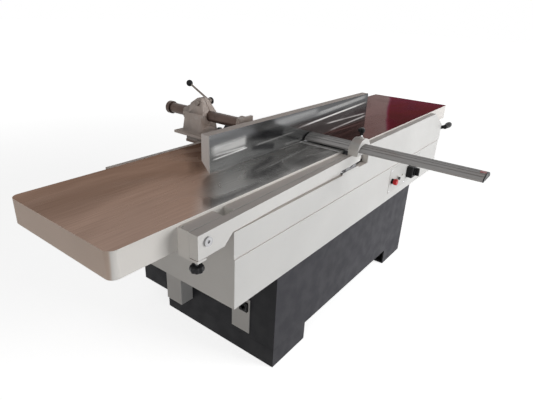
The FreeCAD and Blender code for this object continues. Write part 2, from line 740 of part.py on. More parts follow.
def make_drive():
    """Motor, pulleys, belts and their cover."""
    nodes["cutter_pulley"] = pulley((cutter_x, cutter_z), cutter_pitch_radius, journal_radius)
    nodes["motor_pulley"] = pulley((motor_x, motor_axis_height), motor_pitch_radius, motor_shaft_radius)
    belts = []
    outer = Part.Face(belt_loop(belt_half_depth))
    inner = Part.Face(belt_loop(-belt_half_depth))
    for i in range(belt_count):
        middle = pulley_front + pulley_width / 2 + (i - (belt_count - 1) / 2) * belt_pitch
        belt = outer.cut(inner).extrude(Vector(0, belt_width, 0))
        belt.translate(Vector(0, middle - belt_width / 2, 0))
        belts.append(belt)
    nodes["drive_belts"] = group(belts)

    motor_front = pulley_front - 15 - motor_length
    centre = (motor_x, motor_axis_height)
    case = cylinder("y", centre, motor_radius - 8, motor_front, motor_front + motor_length)
    fins = []
    fin = box((motor_x - 1.5, motor_x + 1.5), (motor_front + 30, motor_front + motor_length - 30),
              (motor_axis_height + motor_radius - 12, motor_axis_height + motor_radius))
    for i in range(motor_fin_count):
        fins.append(turned(fin, Vector(motor_x, 0, motor_axis_height), "y", 360 * i / motor_fin_count))
    saddle = box((motor_x - 80, motor_x + 80), (motor_front + 60, motor_front + motor_length - 60),
                 (foot_height + cabinet_wall, motor_axis_height))
    terminal = box((motor_x - 40, motor_x + 40), (motor_front + 100, motor_front + 190),
                   (motor_axis_height + motor_radius - 20, motor_axis_height + motor_radius + 28))
    bore = cylinder("y", centre, motor_shaft_radius + running_gap, motor_front + 20, motor_front + motor_length + 1)
    nodes["motor_housing"] = fuse(case, saddle, terminal, *fins).cut(bore)
    nodes["motor_shaft"] = cylinder("y", centre, motor_shaft_radius, motor_front + 20 + body_gap, pulley_back)

    cover = prism("y", cover_outline(0, body_floor), body_back, body_back + belt_cover_depth)
    hollow = prism("y", cover_outline(sheet, body_floor - 1), body_back + sheet,
                   body_back + belt_cover_depth - sheet)
    shaft_way = cylinder("y", (cutter_x, cutter_z), cutter_pitch_radius + 8, body_back - 1, body_back + sheet + 1)
    nodes["belt_cover"] = cover.cut([hollow, shaft_way])


# ---------------------------------------------------------------- dust
def frustum(bottom_half, top_half, bottom_z, top_z, bottom_x, top_x, y_half_top):
    """Solid that runs from a square at the bottom to a rectangle at the top."""
    def ring(centre, half_x, half_y, z):
        points = [Vector(centre + sx * half_x, sy * half_y, z) for sx, sy in ((-1, -1), (1, -1), (1, 1), (-1, 1))]
        return Part.makePolygon(points + points[:1])
    return Part.makeLoft([ring(bottom_x, bottom_half, bottom_half, bottom_z),
                          ring(top_x, top_half, y_half_top, top_z)], True, True)


def make_dust():
    """Chip chute under the cutter block, its duct and the outlet spout."""
    duct_x = cutter_x + chute_duct_offset
    top = cutter_z - cutting_radius - 15
    half = chute_duct_half
    inner = half - chute_wall
    y_top = side - 30
    hopper = frustum(half, chute_top_half, body_floor_top, top, duct_x, cutter_x, y_top)
    hopper_inside = frustum(inner, chute_top_half - chute_wall, body_floor_top - 1, top + 1, duct_x, cutter_x,
                            y_top - chute_wall)
    drop = box((duct_x - half, duct_x + half), (-half, half), (chute_duct_height - half, body_floor_top))
    drop_inside = box((duct_x - inner, duct_x + inner), (-inner, inner),
                      (chute_duct_height - inner, body_floor_top + 1))
    duct = box((duct_x - half, duct_x + half), (-half, cabinet_back - cabinet_wall),
               (chute_duct_height - half, chute_duct_height + half))
    duct_inside = box((duct_x - inner, duct_x + inner), (-inner, cabinet_back), (chute_duct_height - inner,
                                                                                chute_duct_height + inner))
    nodes["dust_chute"] = fuse(hopper, drop, duct).cut([hopper_inside, drop_inside, duct_inside])

    centre = (duct_x, chute_duct_height)
    pipe = cylinder("y", centre, spout_radius, cabinet_back, cabinet_back + spout_length)
    flange = cylinder("y", centre, flange_radius, cabinet_back, cabinet_back + 4)
    way = cylinder("y", centre, spout_radius - spout_wall, cabinet_back - 1, cabinet_back + spout_length + 1)
    heads = []
    for i in range(6):
        angle = math.pi / 6 + i * math.pi / 3
        spot = (duct_x + 90 * math.cos(angle), chute_duct_height + 90 * math.sin(angle))
        heads.append(cylinder("y", spot, 5, cabinet_back + 4, cabinet_back + 8))
    nodes["dust_spout"] = fuse(pipe, flange, *heads).cut(way)


# ---------------------------------------------------------------- fence
def make_fence():
    """Ribbed fence casting with its hinge knuckles."""
    x = (fence_left, fence_left + fence_length)
    bottom = table_height + fence_table_gap
    top = table_height + fence_height
    back = fence_face_y + fence_thickness
    outline = [(fence_face_y, bottom), (back, bottom + fence_chamfer), (back, top), (fence_face_y, top)]
    body = prism("x", outline, *x)
    ribs = steps(x[0], x[1], fence_rib_pitch)
    edges = [x[0]] + ribs + [x[1]]
    pockets = []
    for start, end in zip(edges, edges[1:]):
        pockets.append(box((start + fence_flange, end - fence_flange), (fence_face_y + fence_plate, back + 1),
                           (bottom + fence_chamfer + fence_flange, top - fence_flange)))
    body = body.cut(pockets)
    knuckles = []
    lug = [(hinge_y - knuckle_radius, hinge_z), (hinge_y, hinge_z - 4), (hinge_y + knuckle_radius, hinge_z),
           (hinge_y + knuckle_radius, hinge_z + 18), (hinge_y - 4, hinge_z + 14)]
    for start in (bar_x - hinge_width / 2, bar_x + hinge_width / 2 - knuckle_width):
        knuckle = fuse(cylinder("x", (hinge_y, hinge_z), knuckle_radius, start, start + knuckle_width),
                       prism("x", lug, start, start + knuckle_width))
        knuckles.append(knuckle)
    bore = cylinder("x", (hinge_y, hinge_z), hinge_pin_radius + running_gap, bar_x - hinge_width,
                    bar_x + hinge_width)
    nodes["fence"] = fuse(body, *knuckles).cut(bore)


def make_fence_slide():
    """Round bar with its collar, the bracket at its front and the hinge pin."""
    riser_back = bracket_riser_y + bracket_wall
    bar = cylinder("y", (bar_x, bar_z), bar_radius, riser_back, bar_rear_y)
    collar = cylinder("y", (bar_x, bar_z), bar_collar_radius, bar_rear_y - bar_collar_length, bar_rear_y)
    bar = round_edges(fuse(bar, collar), 3, lambda mid, size: size.YMin > bar_rear_y - 0.01)
    nodes["fence_bar"] = bar

    half = bracket_width / 2
    span = (bar_x - half, bar_x + half)
    strap_low = table_height + 1.0
    strap_high = hinge_z + knuckle_radius - 1.0
    strap = box(span, (hinge_y, riser_back), (strap_low, strap_high))
    knuckle = cylinder("x", (hinge_y, hinge_z), knuckle_radius, *span)
    riser = box(span, (bracket_riser_y, riser_back), (strap_low, bar_z + bar_radius + 8))
    boss = cylinder("y", (bar_x, bar_z), bar_radius + 10, riser_back, riser_back + 16)
    gussets = [prism("x", [(riser_back, strap_low), (riser_back + 42, strap_low), (riser_back, bar_z - 30)],
                     start, start + 10) for start in (span[0], span[1] - 10)]
    foot = box(span, (riser_back, riser_back + 42), (strap_low, strap_high))
    bracket = fuse(strap, knuckle, riser, boss, foot, *gussets)
    bore = [cylinder("x", (hinge_y, hinge_z), hinge_pin_radius, bar_x - hinge_width, bar_x + hinge_width),
            cylinder("y", (bar_x, bar_z), bar_radius, riser_back, riser_back + 17)]
    nodes["fence_bracket"] = bracket.cut(bore)
    nodes["fence_hinge_pin"] = fuse(
        cylinder("x", (hinge_y, hinge_z), hinge_pin_radius, bar_x - hinge_width / 2 - 3, bar_x + hinge_width / 2 + 3),
        cylinder("x", (hinge_y, hinge_z), hinge_pin_radius + 2, bar_x + hinge_width / 2 + side_gap,
                 bar_x + hinge_width / 2 + 4))


def make_carriage():
    """Rear rail, its bracket, the carriage casting and its clamp."""
    nodes["rear_rail"] = box((rail_left, rail_right), (side, side + rail_thickness),
                             (table_height - rail_height, table_height))
    rail_back = side + rail_thickness
    half = carriage_width / 2
    shelf_top = table_height - bracket_shelf_drop
    shelf_x = (bar_x - half + 7, bar_x + half - 7)
    nodes["rail_bracket"] = fuse(box(shelf_x, (rail_back, rail_back + 105), (shelf_top - 12, shelf_top)),
                                 box(shelf_x, (rail_back, rail_back + 12), (table_height - rail_height, shelf_top)))

    plate_z = (table_height + carriage_plate_rise, table_height + carriage_plate_rise + carriage_plate)
    plate = box((bar_x - half, bar_x + half), (carriage_plate_front, carriage_plate_back), plate_z)
    feet = [box((x, x + 30), (rail_back + 10, rail_back + 100), (shelf_top, plate_z[0]))
            for x in (shelf_x[0], shelf_x[1] - 30)]
    column = prism("y", [(bar_x - 62, plate_z[1]), (bar_x + 62, plate_z[1]), (bar_x + barrel_radius, bar_z),
                         (bar_x - barrel_radius, bar_z)], barrel_front + 14, barrel_back - 14)
    barrel = cylinder("y", (bar_x, bar_z), barrel_radius, barrel_front, barrel_back)
    lug_top = bar_z + barrel_lug_rise
    roof = prism("y", [(bar_x - barrel_radius, bar_z + 8), (bar_x + barrel_radius, bar_z + 8),
                       (bar_x + 20, lug_top), (bar_x - 20, lug_top)], barrel_front + 8, barrel_back - 40)
    casting = fuse(plate, *feet, column, barrel, roof)
    clamp_z = bar_z + clamp_rise
    knob_place = (bar_x + carriage_knob_offset, carriage_knob_y)
    cuts = [cylinder("y", (bar_x, bar_z), bar_radius + running_gap, barrel_front - 1, barrel_back + 1),
            box((bar_x - split_width / 2, bar_x + split_width / 2), (barrel_front - 1, barrel_back + 1),
                (bar_z, lug_top + 1)),
            cylinder("x", (clamp_y, clamp_z), 7 + running_gap, bar_x - half, bar_x + half),
            cylinder("z", knob_place, carriage_stud_radius + running_gap, plate_z[0] - 1, plate_z[1] + 1)]
    nodes["fence_carriage"] = casting.cut(cuts)

    slope_x = 33.0
    hub = cylinder("x", (clamp_y, clamp_z), clamp_hub_radius, bar_x + slope_x, bar_x + slope_x + 24)
    stud = cylinder("x", (clamp_y, clamp_z), 7, bar_x - 34, bar_x + slope_x)
    nut = hexagon("x", (clamp_y, clamp_z), 22, bar_x - 44, bar_x - 34)
    rod_start = Vector(bar_x + slope_x + 12, clamp_y, clamp_z)
    lean = math.radians(clamp_lever_angle_deg)
    reach = Vector(0, math.cos(lean), math.sin(lean))
    rod = Part.makeCylinder(clamp_rod_radius, clamp_lever_length, rod_start, reach)
    nodes["clamp_lever"] = fuse(hub, stud, nut, rod)
    ball = Part.makeSphere(clamp_ball_radius, rod_start + reach * clamp_lever_length)
    nodes["clamp_lever_ball"] = ball.cut(rod)
    knob = fuse(cylinder("z", knob_place, carriage_stud_radius, plate_z[0] + 1, plate_z[1] + body_gap),
                cylinder("z", knob_place, carriage_knob_radius, plate_z[1] + body_gap, plate_z[1] + 9))
    nodes["carriage_knob"] = knob


# ---------------------------------------------------------------- guard arm
def arm_outer(x):
    """Y of the arm's outer face at a place along X."""
    share = (x - arm_left) / (arm_right - arm_left)
    return -(side + arm_left_outer + share * (arm_right_outer - arm_left_outer))


def arm_inner(x):
    """Y of the arm's inner face at a place along X."""
    share = (x - arm_left) / (arm_right - arm_left)
    return -(side + arm_left_inner + share * (arm_right_inner - arm_left_inner))


def make_arm():
    """Bracket and strip on the table's side, the hinged arm and its knob."""
    bracket_x = (arm_left + 3, arm_left + 3 + arm_bracket_length)
    bracket_y = (-(side + arm_bracket_depth), -side)
    tab_top = arm_head_bottom - tab_gap
    block = box(bracket_x, bracket_y, (arm_head_bottom, arm_top))
    tab = box((bracket_x[0], bracket_x[0] + 36), (knob_y - 15, bracket_y[1]), (tab_top - tab_thickness, tab_top))
    web = box((bracket_x[0], bracket_x[0] + 36), bracket_y, (tab_top, arm_head_bottom))
    slot = fuse(cylinder("z", (knob_x, knob_y), knob_stud_radius + 2, tab_top - 20, tab_top + 1),
                cylinder("z", (knob_x + 7, knob_y), knob_stud_radius + 2, tab_top - 20, tab_top + 1),
                box((knob_x, knob_x + 7), (knob_y - knob_stud_radius - 2, knob_y + knob_stud_radius + 2),
                    (tab_top - 20, tab_top + 1)))
    pin_bore = cylinder("y", (arm_pivot_x, arm_pivot_z), pivot_radius, bracket_y[0] - 1, bracket_y[0] + 30)
    screw_hole = cylinder("z", (bracket_x[0] + 10, -side - 12), 4, arm_top - 10, arm_top + 1)
    nodes["arm_bracket"] = fuse(block, tab, web).cut([slot, pin_bore, screw_hole])

    strip = [(strip_left, -side), (strip_right, -side), (strip_right, arm_inner(strip_right) + strip_gap),
             (strip_left, arm_inner(strip_left) + strip_gap)]
    nodes["side_strip"] = prism("z", strip, arm_top - strip_height, arm_top)

    profile = [(arm_left, arm_head_bottom), (arm_left + arm_head_length, arm_head_bottom),
               (arm_left + arm_head_length + arm_head_taper, arm_top - arm_height),
               (arm_right, arm_top - arm_height), (arm_right, arm_top), (arm_left, arm_top)]
    plan = [(arm_left, arm_outer(arm_left)), (arm_right, arm_outer(arm_right)),
            (arm_right, arm_inner(arm_right)), (arm_left, arm_inner(arm_left))]
    arm = prism("y", profile, -(side + 200), -side).common(prism("z", plan, arm_head_bottom, arm_top))
    pivot_hole = cylinder("y", (arm_pivot_x, arm_pivot_z), pivot_radius + running_gap, -(side + 200), -side)
    stud_hole = cylinder("z", (knob_x, knob_y), knob_stud_radius + running_gap, arm_head_bottom - 1,
                         arm_head_bottom + 36)
    nodes["guard_arm"] = arm.cut([pivot_hole, stud_hole])

    inner_face = arm_inner(arm_pivot_x) - body_gap
    outer_face = arm_outer(arm_pivot_x) - 0.9
    shank = cylinder("y", (arm_pivot_x, arm_pivot_z), pivot_radius, outer_face, bracket_y[0] + 30)
    head = cylinder("y", (arm_pivot_x, arm_pivot_z), pivot_head_radius, outer_face - 6, outer_face)
    spacer = cylinder("y", (arm_pivot_x, arm_pivot_z), pivot_radius + 6, inner_face + 2 * body_gap + 0.3,
                      bracket_y[0])
    socket = hexagon("y", (arm_pivot_x, arm_pivot_z), 10, outer_face - 7, outer_face - 1)
    nodes["arm_pivot_bolt"] = fuse(shank, head, spacer).cut(socket)

    knob_top = tab_top - tab_thickness - body_gap
    stud = cylinder("z", (knob_x, knob_y), knob_stud_radius, knob_top - 5, arm_head_bottom + 30)
    neck = cylinder("z", (knob_x, knob_y), 9, knob_top - 12, knob_top)
    grip = cylinder("z", (knob_x, knob_y), knob_radius, knob_top - 12 - knob_height, knob_top - 12)
    lobes = [cylinder("z", (knob_x + (knob_radius + 3) * math.cos(i * math.pi / 4),
                            knob_y + (knob_radius + 3) * math.sin(i * math.pi / 4)), 5,
                      knob_top - 13 - knob_height, knob_top - 11) for i in range(8)]
    nodes["arm_height_knob"] = fuse(stud, neck, grip).cut(lobes)


# ---------------------------------------------------------------- bridge guard
def guard_outline(grow):
    """Closed domed section of the guard, grown outward, as a wire at Y = 0."""
    half = guard_width / 2 + grow
    low = guard_bottom - grow
    edge = guard_bottom + guard_edge + grow
    crown = guard_bottom + guard_crown + grow
    corners = [Vector(guard_x - half, 0, edge), Vector(guard_x - half, 0, low),
               Vector(guard_x + half, 0, low), Vector(guard_x + half, 0, edge)]
    edges = [Part.LineSegment(a, b).toShape() for a, b in zip(corners, corners[1:])]
    edges.append(Part.Arc(corners[3], Vector(guard_x, 0, crown), corners[0]).toShape())
    return Part.Wire(edges)


def guard_solid(grow, start, end):
    """The guard's section drawn out along Y."""
    face = Part.Face(guard_outline(grow))
    solid = face.extrude(Vector(0, end - start, 0))
    solid.translate(Vector(0, start, 0))
    return solid


def make_guard():
    """Bridge guard, its end caps, the holder on the arm and the clamp knob."""
    beam_y = (guard_front + guard_cap, guard_back - guard_cap)
    shell = guard_solid(0, *beam_y).cut(guard_solid(-guard_wall, beam_y[0] - 1, beam_y[1] + 1))
    half = guard_width / 2
    rise = guard_crown - guard_edge
    arc_radius = (half * half + rise * rise) / (2 * rise)
    arc_z = guard_bottom + guard_crown - arc_radius
    grooves = []
    for i in range(guard_rib_count):
        offset = (i - (guard_rib_count - 1) / 2) * guard_width / (guard_rib_count + 1)
        z = arc_z + math.sqrt(arc_radius ** 2 - offset ** 2)
        grooves.append(box((guard_x + offset - 1.5, guard_x + offset + 1.5), (beam_y[0] - 1, beam_y[1] + 1),
                           (z - 1.4, z + 5)))
    nodes["guard_beam"] = shell.cut(grooves)
    nodes["guard_end_caps"] = group([guard_solid(0, guard_front, beam_y[0]), guard_solid(0, beam_y[1], guard_back)])

    front = -(side + holder_front_out)
    back = -(side + holder_back_out)
    left, right = guard_x - holder_half, guard_x + holder_half
    shoulder = arm_top + holder_side_height
    points = [Vector(left, 0, shoulder), Vector(left, 0, arm_top), Vector(right, 0, arm_top),
              Vector(right, 0, shoulder)]
    edges = [Part.LineSegment(a, b).toShape() for a, b in zip(points, points[1:])]
    edges.append(Part.Arc(points[3], Vector(guard_x, 0, arm_top + holder_height), points[0]).toShape())
    hood = Part.Face(Part.Wire(edges)).extrude(Vector(0, back - front, 0))
    hood.translate(Vector(0, front, 0))
    tunnel = guard_solid(holder_gap, front - 1, back + 1)
    knob_y_place = front + 22
    bore = cylinder("z", (guard_x, knob_y_place), 5 + running_gap, guard_bottom, arm_top + holder_height + 6)
    boss = cylinder("z", (guard_x, knob_y_place), 11, arm_top + holder_height - 6, arm_top + holder_height + 5)
    nodes["guard_holder"] = fuse(hood, boss).cut([tunnel, bore])

    stud_bottom = guard_bottom + guard_crown + 2 * body_gap
    knob_low = table_height + guard_knob_rise
    stem = cylinder("z", (guard_x, knob_y_place), 5, stud_bottom, knob_low)
    neck = cylinder("z", (guard_x, knob_y_place), 8, arm_top + holder_height + 5 + body_gap, knob_low)
    grip = cylinder("z", (guard_x, knob_y_place), guard_knob_radius - 4, knob_low, knob_low + guard_knob_height)
    lobes = [cylinder("z", (guard_x + 8 * math.cos(i * 2 * math.pi / 3),
                            knob_y_place + 8 * math.sin(i * 2 * math.pi / 3)), 7,
                      knob_low + 3, knob_low + guard_knob_height) for i in range(3)]
    nodes["guard_clamp_knob"] = fuse(stem, neck, grip, *lobes)


# ---------------------------------------------------------------- controls
def make_controls():
    """Control plate with its stop, start, lamp and rotary switch."""
    face = body_front - panel_plate
    plate = box((panel_left, panel_left + panel_length), (face, body_front),
                (panel_bottom, panel_bottom + panel_height))
    bezel = tube("y", (start_x, controls_height), 11, start_stem_radius + running_gap, face - 9, face)
    stem_holes = [cylinder("y", (x, controls_height), radius + running_gap, face - 1, body_front + 1)
                  for x, radius in ((stop_x, stop_stem_radius), (start_x, start_stem_radius))]
    nodes["control_panel"] = fuse(plate, bezel).cut(stem_holes)

    base_depth = 9.0
    stop_face = face - base_depth
    base = tube("y", (stop_x, controls_height), 15, stop_stem_radius + running_gap, stop_face, face)
    nodes["stop_button_base"] = base
    stop_low = stop_face - press_stop - body_gap
    stem = cylinder("y", (stop_x, controls_height), stop_stem_radius, stop_low, face - body_gap)
    head = cylinder("y", (stop_x, controls_height), stop_radius, stop_low - 19, stop_low)
    nodes["stop_button"] = round_edges(fuse(stem, head), 4, lambda mid, size: size.YMax < stop_low - 18.99)
    start_low = face - 9 - press_start - body_gap
    stem = cylinder("y", (start_x, controls_height), start_stem_radius, start_low, face - body_gap)
    head = cylinder("y", (start_x, controls_height), 9, start_low - 5, start_low)
    nodes["start_button"] = fuse(stem, head)
    lamp = fuse(cylinder("y", (lamp_x, controls_height), 6, face - 4, face),
                Part.makeSphere(4, Vector(lamp_x, face - 4, controls_height)))
    nodes["pilot_lamp"] = lamp

    half = switch_size / 2
    front = face - switch_depth
    housing = box((switch_x - half, switch_x + half), (front, face), (controls_height - half, controls_height + half))
    housing = round_edges(housing, 6, lambda mid, size: size.YLength > 1 or size.YMax < front + 0.01)
    nodes["switch_housing"] = housing.cut(cylinder("y", (switch_x, controls_height), 8 + running_gap, front - 1,
                                                   front + 15))
    dial = cylinder("y", (switch_x, controls_height), 23, front - body_gap - 7, front - body_gap)
    stem = cylinder("y", (switch_x, controls_height), 8, front - body_gap, front + 12)
    grip = box((switch_x - 7, switch_x + 7), (front - body_gap - 27, front - body_gap - 7),
               (controls_height - 20, controls_height + 27))
    nodes["main_switch_knob"] = fuse(dial, stem, grip)


def main():
    """Build every sub-part and write one STEP file for each."""
    make_base()
    make_left_face()
    make_body()
    make_tables()
    make_lift()
    make_cutter()
    make_drive()
    make_dust()
    make_fence()
    make_fence_slide()
    make_carriage()
    make_arm()
    make_guard()
    make_controls()
    os.makedirs("parts", exist_ok=True)
    for name, shape in nodes.items():
        if not shape.isValid() or not shape.Solids:
            raise ValueError("node " + name + " is not a valid solid")
        shape.exportStep("parts/" + name + ".step")
        print(name, len(shape.Solids), round(shape.Volume))


main()
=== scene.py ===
"""The looks of an overhand planer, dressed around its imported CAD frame.

Most CAD parts keep their shape and get a finish. Five are replaced by finer pieces in the same places,
and small fittings and thin sheets are added; all of these ride on the CAD's bodies.
All lengths are in metres, with X along the tables, Y to the back and Z up.
"""
import logging
import math
from abc import ABC, abstractmethod
from dataclasses import dataclass
from enum import Enum

import bmesh
import bpy
from mathutils import Matrix, Vector


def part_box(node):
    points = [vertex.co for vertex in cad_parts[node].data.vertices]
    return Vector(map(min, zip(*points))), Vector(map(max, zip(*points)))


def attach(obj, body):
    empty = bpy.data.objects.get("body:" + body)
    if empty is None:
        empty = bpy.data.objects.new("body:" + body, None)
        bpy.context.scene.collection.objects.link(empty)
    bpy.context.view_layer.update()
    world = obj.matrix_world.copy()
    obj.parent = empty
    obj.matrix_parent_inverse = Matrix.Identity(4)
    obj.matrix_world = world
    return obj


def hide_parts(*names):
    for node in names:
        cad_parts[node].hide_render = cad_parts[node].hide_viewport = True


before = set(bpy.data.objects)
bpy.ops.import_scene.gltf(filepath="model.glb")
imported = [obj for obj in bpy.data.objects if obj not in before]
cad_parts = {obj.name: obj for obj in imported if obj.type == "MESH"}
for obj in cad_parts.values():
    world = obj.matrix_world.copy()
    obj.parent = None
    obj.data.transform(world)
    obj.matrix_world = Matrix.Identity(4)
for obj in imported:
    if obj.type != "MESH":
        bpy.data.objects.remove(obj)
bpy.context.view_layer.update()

LOG = logging.getLogger("planer")
Rgb = tuple[float, float, float]
Socket = bpy.types.NodeSocket
Mesh = bmesh.types.BMesh
Value = Socket | Rgb | float
LENGTHWISE = (0.02, 1.0, 1.0)
MM = 0.001
SEAM = 0.00001
BROKEN_ANGLE = math.radians(50.0)
SMOOTH_ANGLE = math.radians(35.0)


class Side(Enum):
    """The way a face looks, as the axis of its normal and that axis's sign."""

    LEFT = (0, -1.0)
    FRONT = (1, -1.0)
    TOP = (2, 1.0)


class Axis(Enum):
    """A direction that a turned or brushed part runs along."""

    X = 0
    Y = 1
    Z = 2


# ---- nodes


class Graph:
    """The nodes of one material, added and joined by short calls."""

    def __init__(self, name: str) -> None:
        """Starts a material with a principled shader.

        Args:
            name: the material's name.
        """
        self.material = bpy.data.materials.new(name)
        self.material.use_nodes = True
        self.nodes = self.material.node_tree.nodes
        self.links = self.material.node_tree.links
        self.shader = self.nodes["Principled BSDF"]
        coordinates = self.nodes.new("ShaderNodeTexCoord")
        self.place = coordinates.outputs["Object"]
        self.normal = coordinates.outputs["Normal"]

    def feed(self, socket: Socket, value: Value) -> None:
        """Sets a socket, or joins another socket to it.

        Args:
            socket: the input to fill.
            value: a number, a colour, a vector or another node's output.
        """
        if isinstance(value, Socket):
            self.links.new(value, socket)
        elif isinstance(value, tuple) and socket.type == "RGBA":
            socket.default_value = (*value, 1.0)
        else:
            socket.default_value = value

    def add(self, kind: str, inputs: dict, output: int = 0, **settings: str) -> Socket:
        """Adds a node.

        Args:
            kind: Blender's name for the node.
            inputs: what goes into each input, by name or number.
            output: which output to give back.
            settings: the node's own properties.

        Returns:
            The node's output.
        """
        node = self.nodes.new(kind)
        for name, setting in settings.items():
            setattr(node, name, setting)
        for name, value in inputs.items():
            self.feed(node.inputs[name], value)
        return node.outputs[output]

    def noise(self, scale: float, detail: float = 3.0, stretch: Rgb = (1.0, 1.0, 1.0),
              distortion: float = 0.0) -> Socket:
        """Adds soft noise in the object's own space.

        Args:
            scale: waves per metre, before stretching.
            detail: how many finer layers are added.
            stretch: a factor on each axis; a small one draws the noise out along it.
            distortion: how far the pattern swirls.

        Returns:
            A value from 0 to 1.
        """
        mapped = self.add("ShaderNodeMapping", {"Vector": self.place, "Scale": stretch})
        return self.add("ShaderNodeTexNoise", {
            "Vector": mapped, "Scale": scale, "Detail": detail, "Distortion": distortion})

    def span(self, value: Value, low: float, high: float, out_low: float,
             out_high: float) -> Socket:
        """Maps a value smoothly from one range to another, and holds it there.

        Args:
            value: what is mapped.
            low: the value that gives out_low.
            high: the value that gives out_high.
            out_low: the result at low.
            out_high: the result at high.

        Returns:
            The mapped value.
        """
        return self.add("ShaderNodeMapRange", {
            "Value": value, "From Min": low, "From Max": high, "To Min": out_low,
            "To Max": out_high}, interpolation_type="SMOOTHSTEP")

    def blend(self, factor: Value, first: Value, second: Value, how: str = "MIX") -> Socket:
        """Mixes two colours.

        Args:
            factor: how much of the second is taken.
            first: the colour at 0.
            second: the colour at 1.
            how: Blender's name for the mixing.

        Returns:
            The mixed colour.
        """
        return self.add("ShaderNodeMix", {0: factor, 6: first, 7: second}, 2,
                        data_type="RGBA", blend_type=how)

    def tinted(self, first: Value, second: Value) -> Socket:
        """Multiplies two colours."""
        return self.blend(1.0, first, second, "MULTIPLY")

    def maths(self, how: str, first: Value, second: Value) -> Socket:
        """Works out one value from two.

        Args:
            how: Blender's name for the sum.
            first: the first value.
            second: the second value.

        Returns:
            The result.
        """
        return self.add("ShaderNodeMath", {0: first, 1: second}, operation=how)

    def along(self, axis: Axis, source: Socket | None = None) -> Socket:
        """Gives one coordinate of a place or of a normal.

        Args:
            axis: which one.
            source: the vector, or None for the place on the object.

        Returns:
            The coordinate.
        """
        return self.add("ShaderNodeSeparateXYZ", {0: source or self.place}, axis.value)

    def facing(self, side: Side, soft: float = 0.12) -> Socket:
        """Tells the faces that look one way from all the others.

        Args:
            side: the way they look.
            soft: the width of the change from one to the other.

        Returns:
            1 on those faces and 0 elsewhere.
        """
        number, sign = side.value
        amount = self.maths("MULTIPLY", self.along(Axis(number), self.normal), sign)
        return self.span(amount, 0.75 - soft, 0.75 + soft, 0.0, 1.0)

    def streak(self, line: "Streak", across: Axis) -> Socket:
        """Draws one soft streak on a flat face.

        Args:
            line: where the streak runs.
            across: the axis that goes with X on that face.

        Returns:
            The streak's level along its middle, and 0 away from it.
        """
        run_x, run_z = line.end[0] - line.start[0], line.end[1] - line.start[1]
        length = math.hypot(run_x, run_z)
        way = (run_x / length, run_z / length)

        def measured(first: float, second: float) -> Socket:
            """Measures the place along a direction, from the streak's start."""
            total = self.maths("ADD", self.maths("MULTIPLY", self.along(Axis.X), first),
                               self.maths("MULTIPLY", self.along(across), second))
            return self.maths("SUBTRACT", total, line.start[0] * first + line.start[1] * second)

        aside = self.maths("ABSOLUTE", measured(-way[1], way[0]), 0.0)
        ahead = measured(*way)
        body = self.span(aside, line.width * 0.25, line.width, line.level, 0.0)
        head = self.span(ahead, 0.0, length * 0.18, 0.0, 1.0)
        tail = self.span(ahead, length * 0.88, length, 1.0, 0.0)
        return self.maths("MULTIPLY", body, self.maths("MULTIPLY", head, tail))

    def streaks(self, lines: tuple["Streak", ...], across: Axis) -> Socket:
        """Draws several streaks and keeps the strongest, broken up a little.

        Args:
            lines: where they run.
            across: the axis that goes with X on that face.

        Returns:
            Their level.
        """
        total = self.streak(lines[0], across)
        for line in lines[1:]:
            total = self.maths("MAXIMUM", total, self.streak(line, across))
        broken = self.span(self.noise(26.0, 4.0, (0.12, 1.0, 1.0)), 0.30, 0.62, 0.55, 1.0)
        return self.maths("MULTIPLY", total, broken)

    def varied(self, colour: Rgb, amount: float, scale: float,
               stretch: Rgb = (1.0, 1.0, 1.0)) -> Socket:
        """Gives a colour that wanders slowly a little lighter and darker.

        Args:
            colour: the middle colour.
            amount: the part by which it changes.
            scale: waves per metre.
            stretch: a factor on each axis.

        Returns:
            The varied colour.
        """
        factor = self.span(self.noise(scale, 4.0, stretch), 0.3, 0.7, 0.0, 1.0)
        return self.blend(factor, shaded(colour, 1.0 - amount), shaded(colour, 1.0 + amount))

    def bump(self, height: Value, strength: float, distance: float,
             under: Socket | None = None) -> Socket:
        """Turns heights into a bumped normal.

        Args:
            height: the height, from 0 to 1.
            strength: how much of it is felt.
            distance: its real depth.
            under: another bump below this one.

        Returns:
            The normal.
        """
        inputs = {"Height": height, "Strength": strength, "Distance": distance}
        if under is not None:
            inputs["Normal"] = under
        return self.add("ShaderNodeBump", inputs)

    def done(self, **sockets: Value) -> bpy.types.Material:
        """Fills the shader's sockets, named with _ for a blank.

        Args:
            sockets: what goes into each socket.

        Returns:
            The finished material.
        """
        for name, value in sockets.items():
            self.feed(self.shader.inputs[name.replace("_", " ")], value)
        return self.material


def shaded(colour: Rgb, factor: float) -> Rgb:
    """Gives a colour made lighter or darker by a factor."""
    return (colour[0] * factor, colour[1] * factor, colour[2] * factor)


# ---- finishes


@dataclass(frozen=True)
class Streak:
    """A soft painted line on a flat face, for painted highlights and painted dark reflections."""

    start: tuple[float, float]
    end: tuple[float, float]
    width: float
    level: float


@dataclass(frozen=True)
class Finish:
    """The common part of every finish: a name, a colour and how rough it is."""

    name: str
    colour: Rgb
    roughness: float = 0.45

    def rough(self, graph: Graph, scale: float = 14.0, spread: float = 0.07) -> Socket:
        """Gives a roughness that changes a little over the surface.

        Args:
            graph: the material's nodes.
            scale: waves per metre.
            spread: how far it goes each way.

        Returns:
            The roughness.
        """
        return graph.span(graph.noise(scale), 0.3, 0.7, self.roughness - spread, self.roughness + spread)


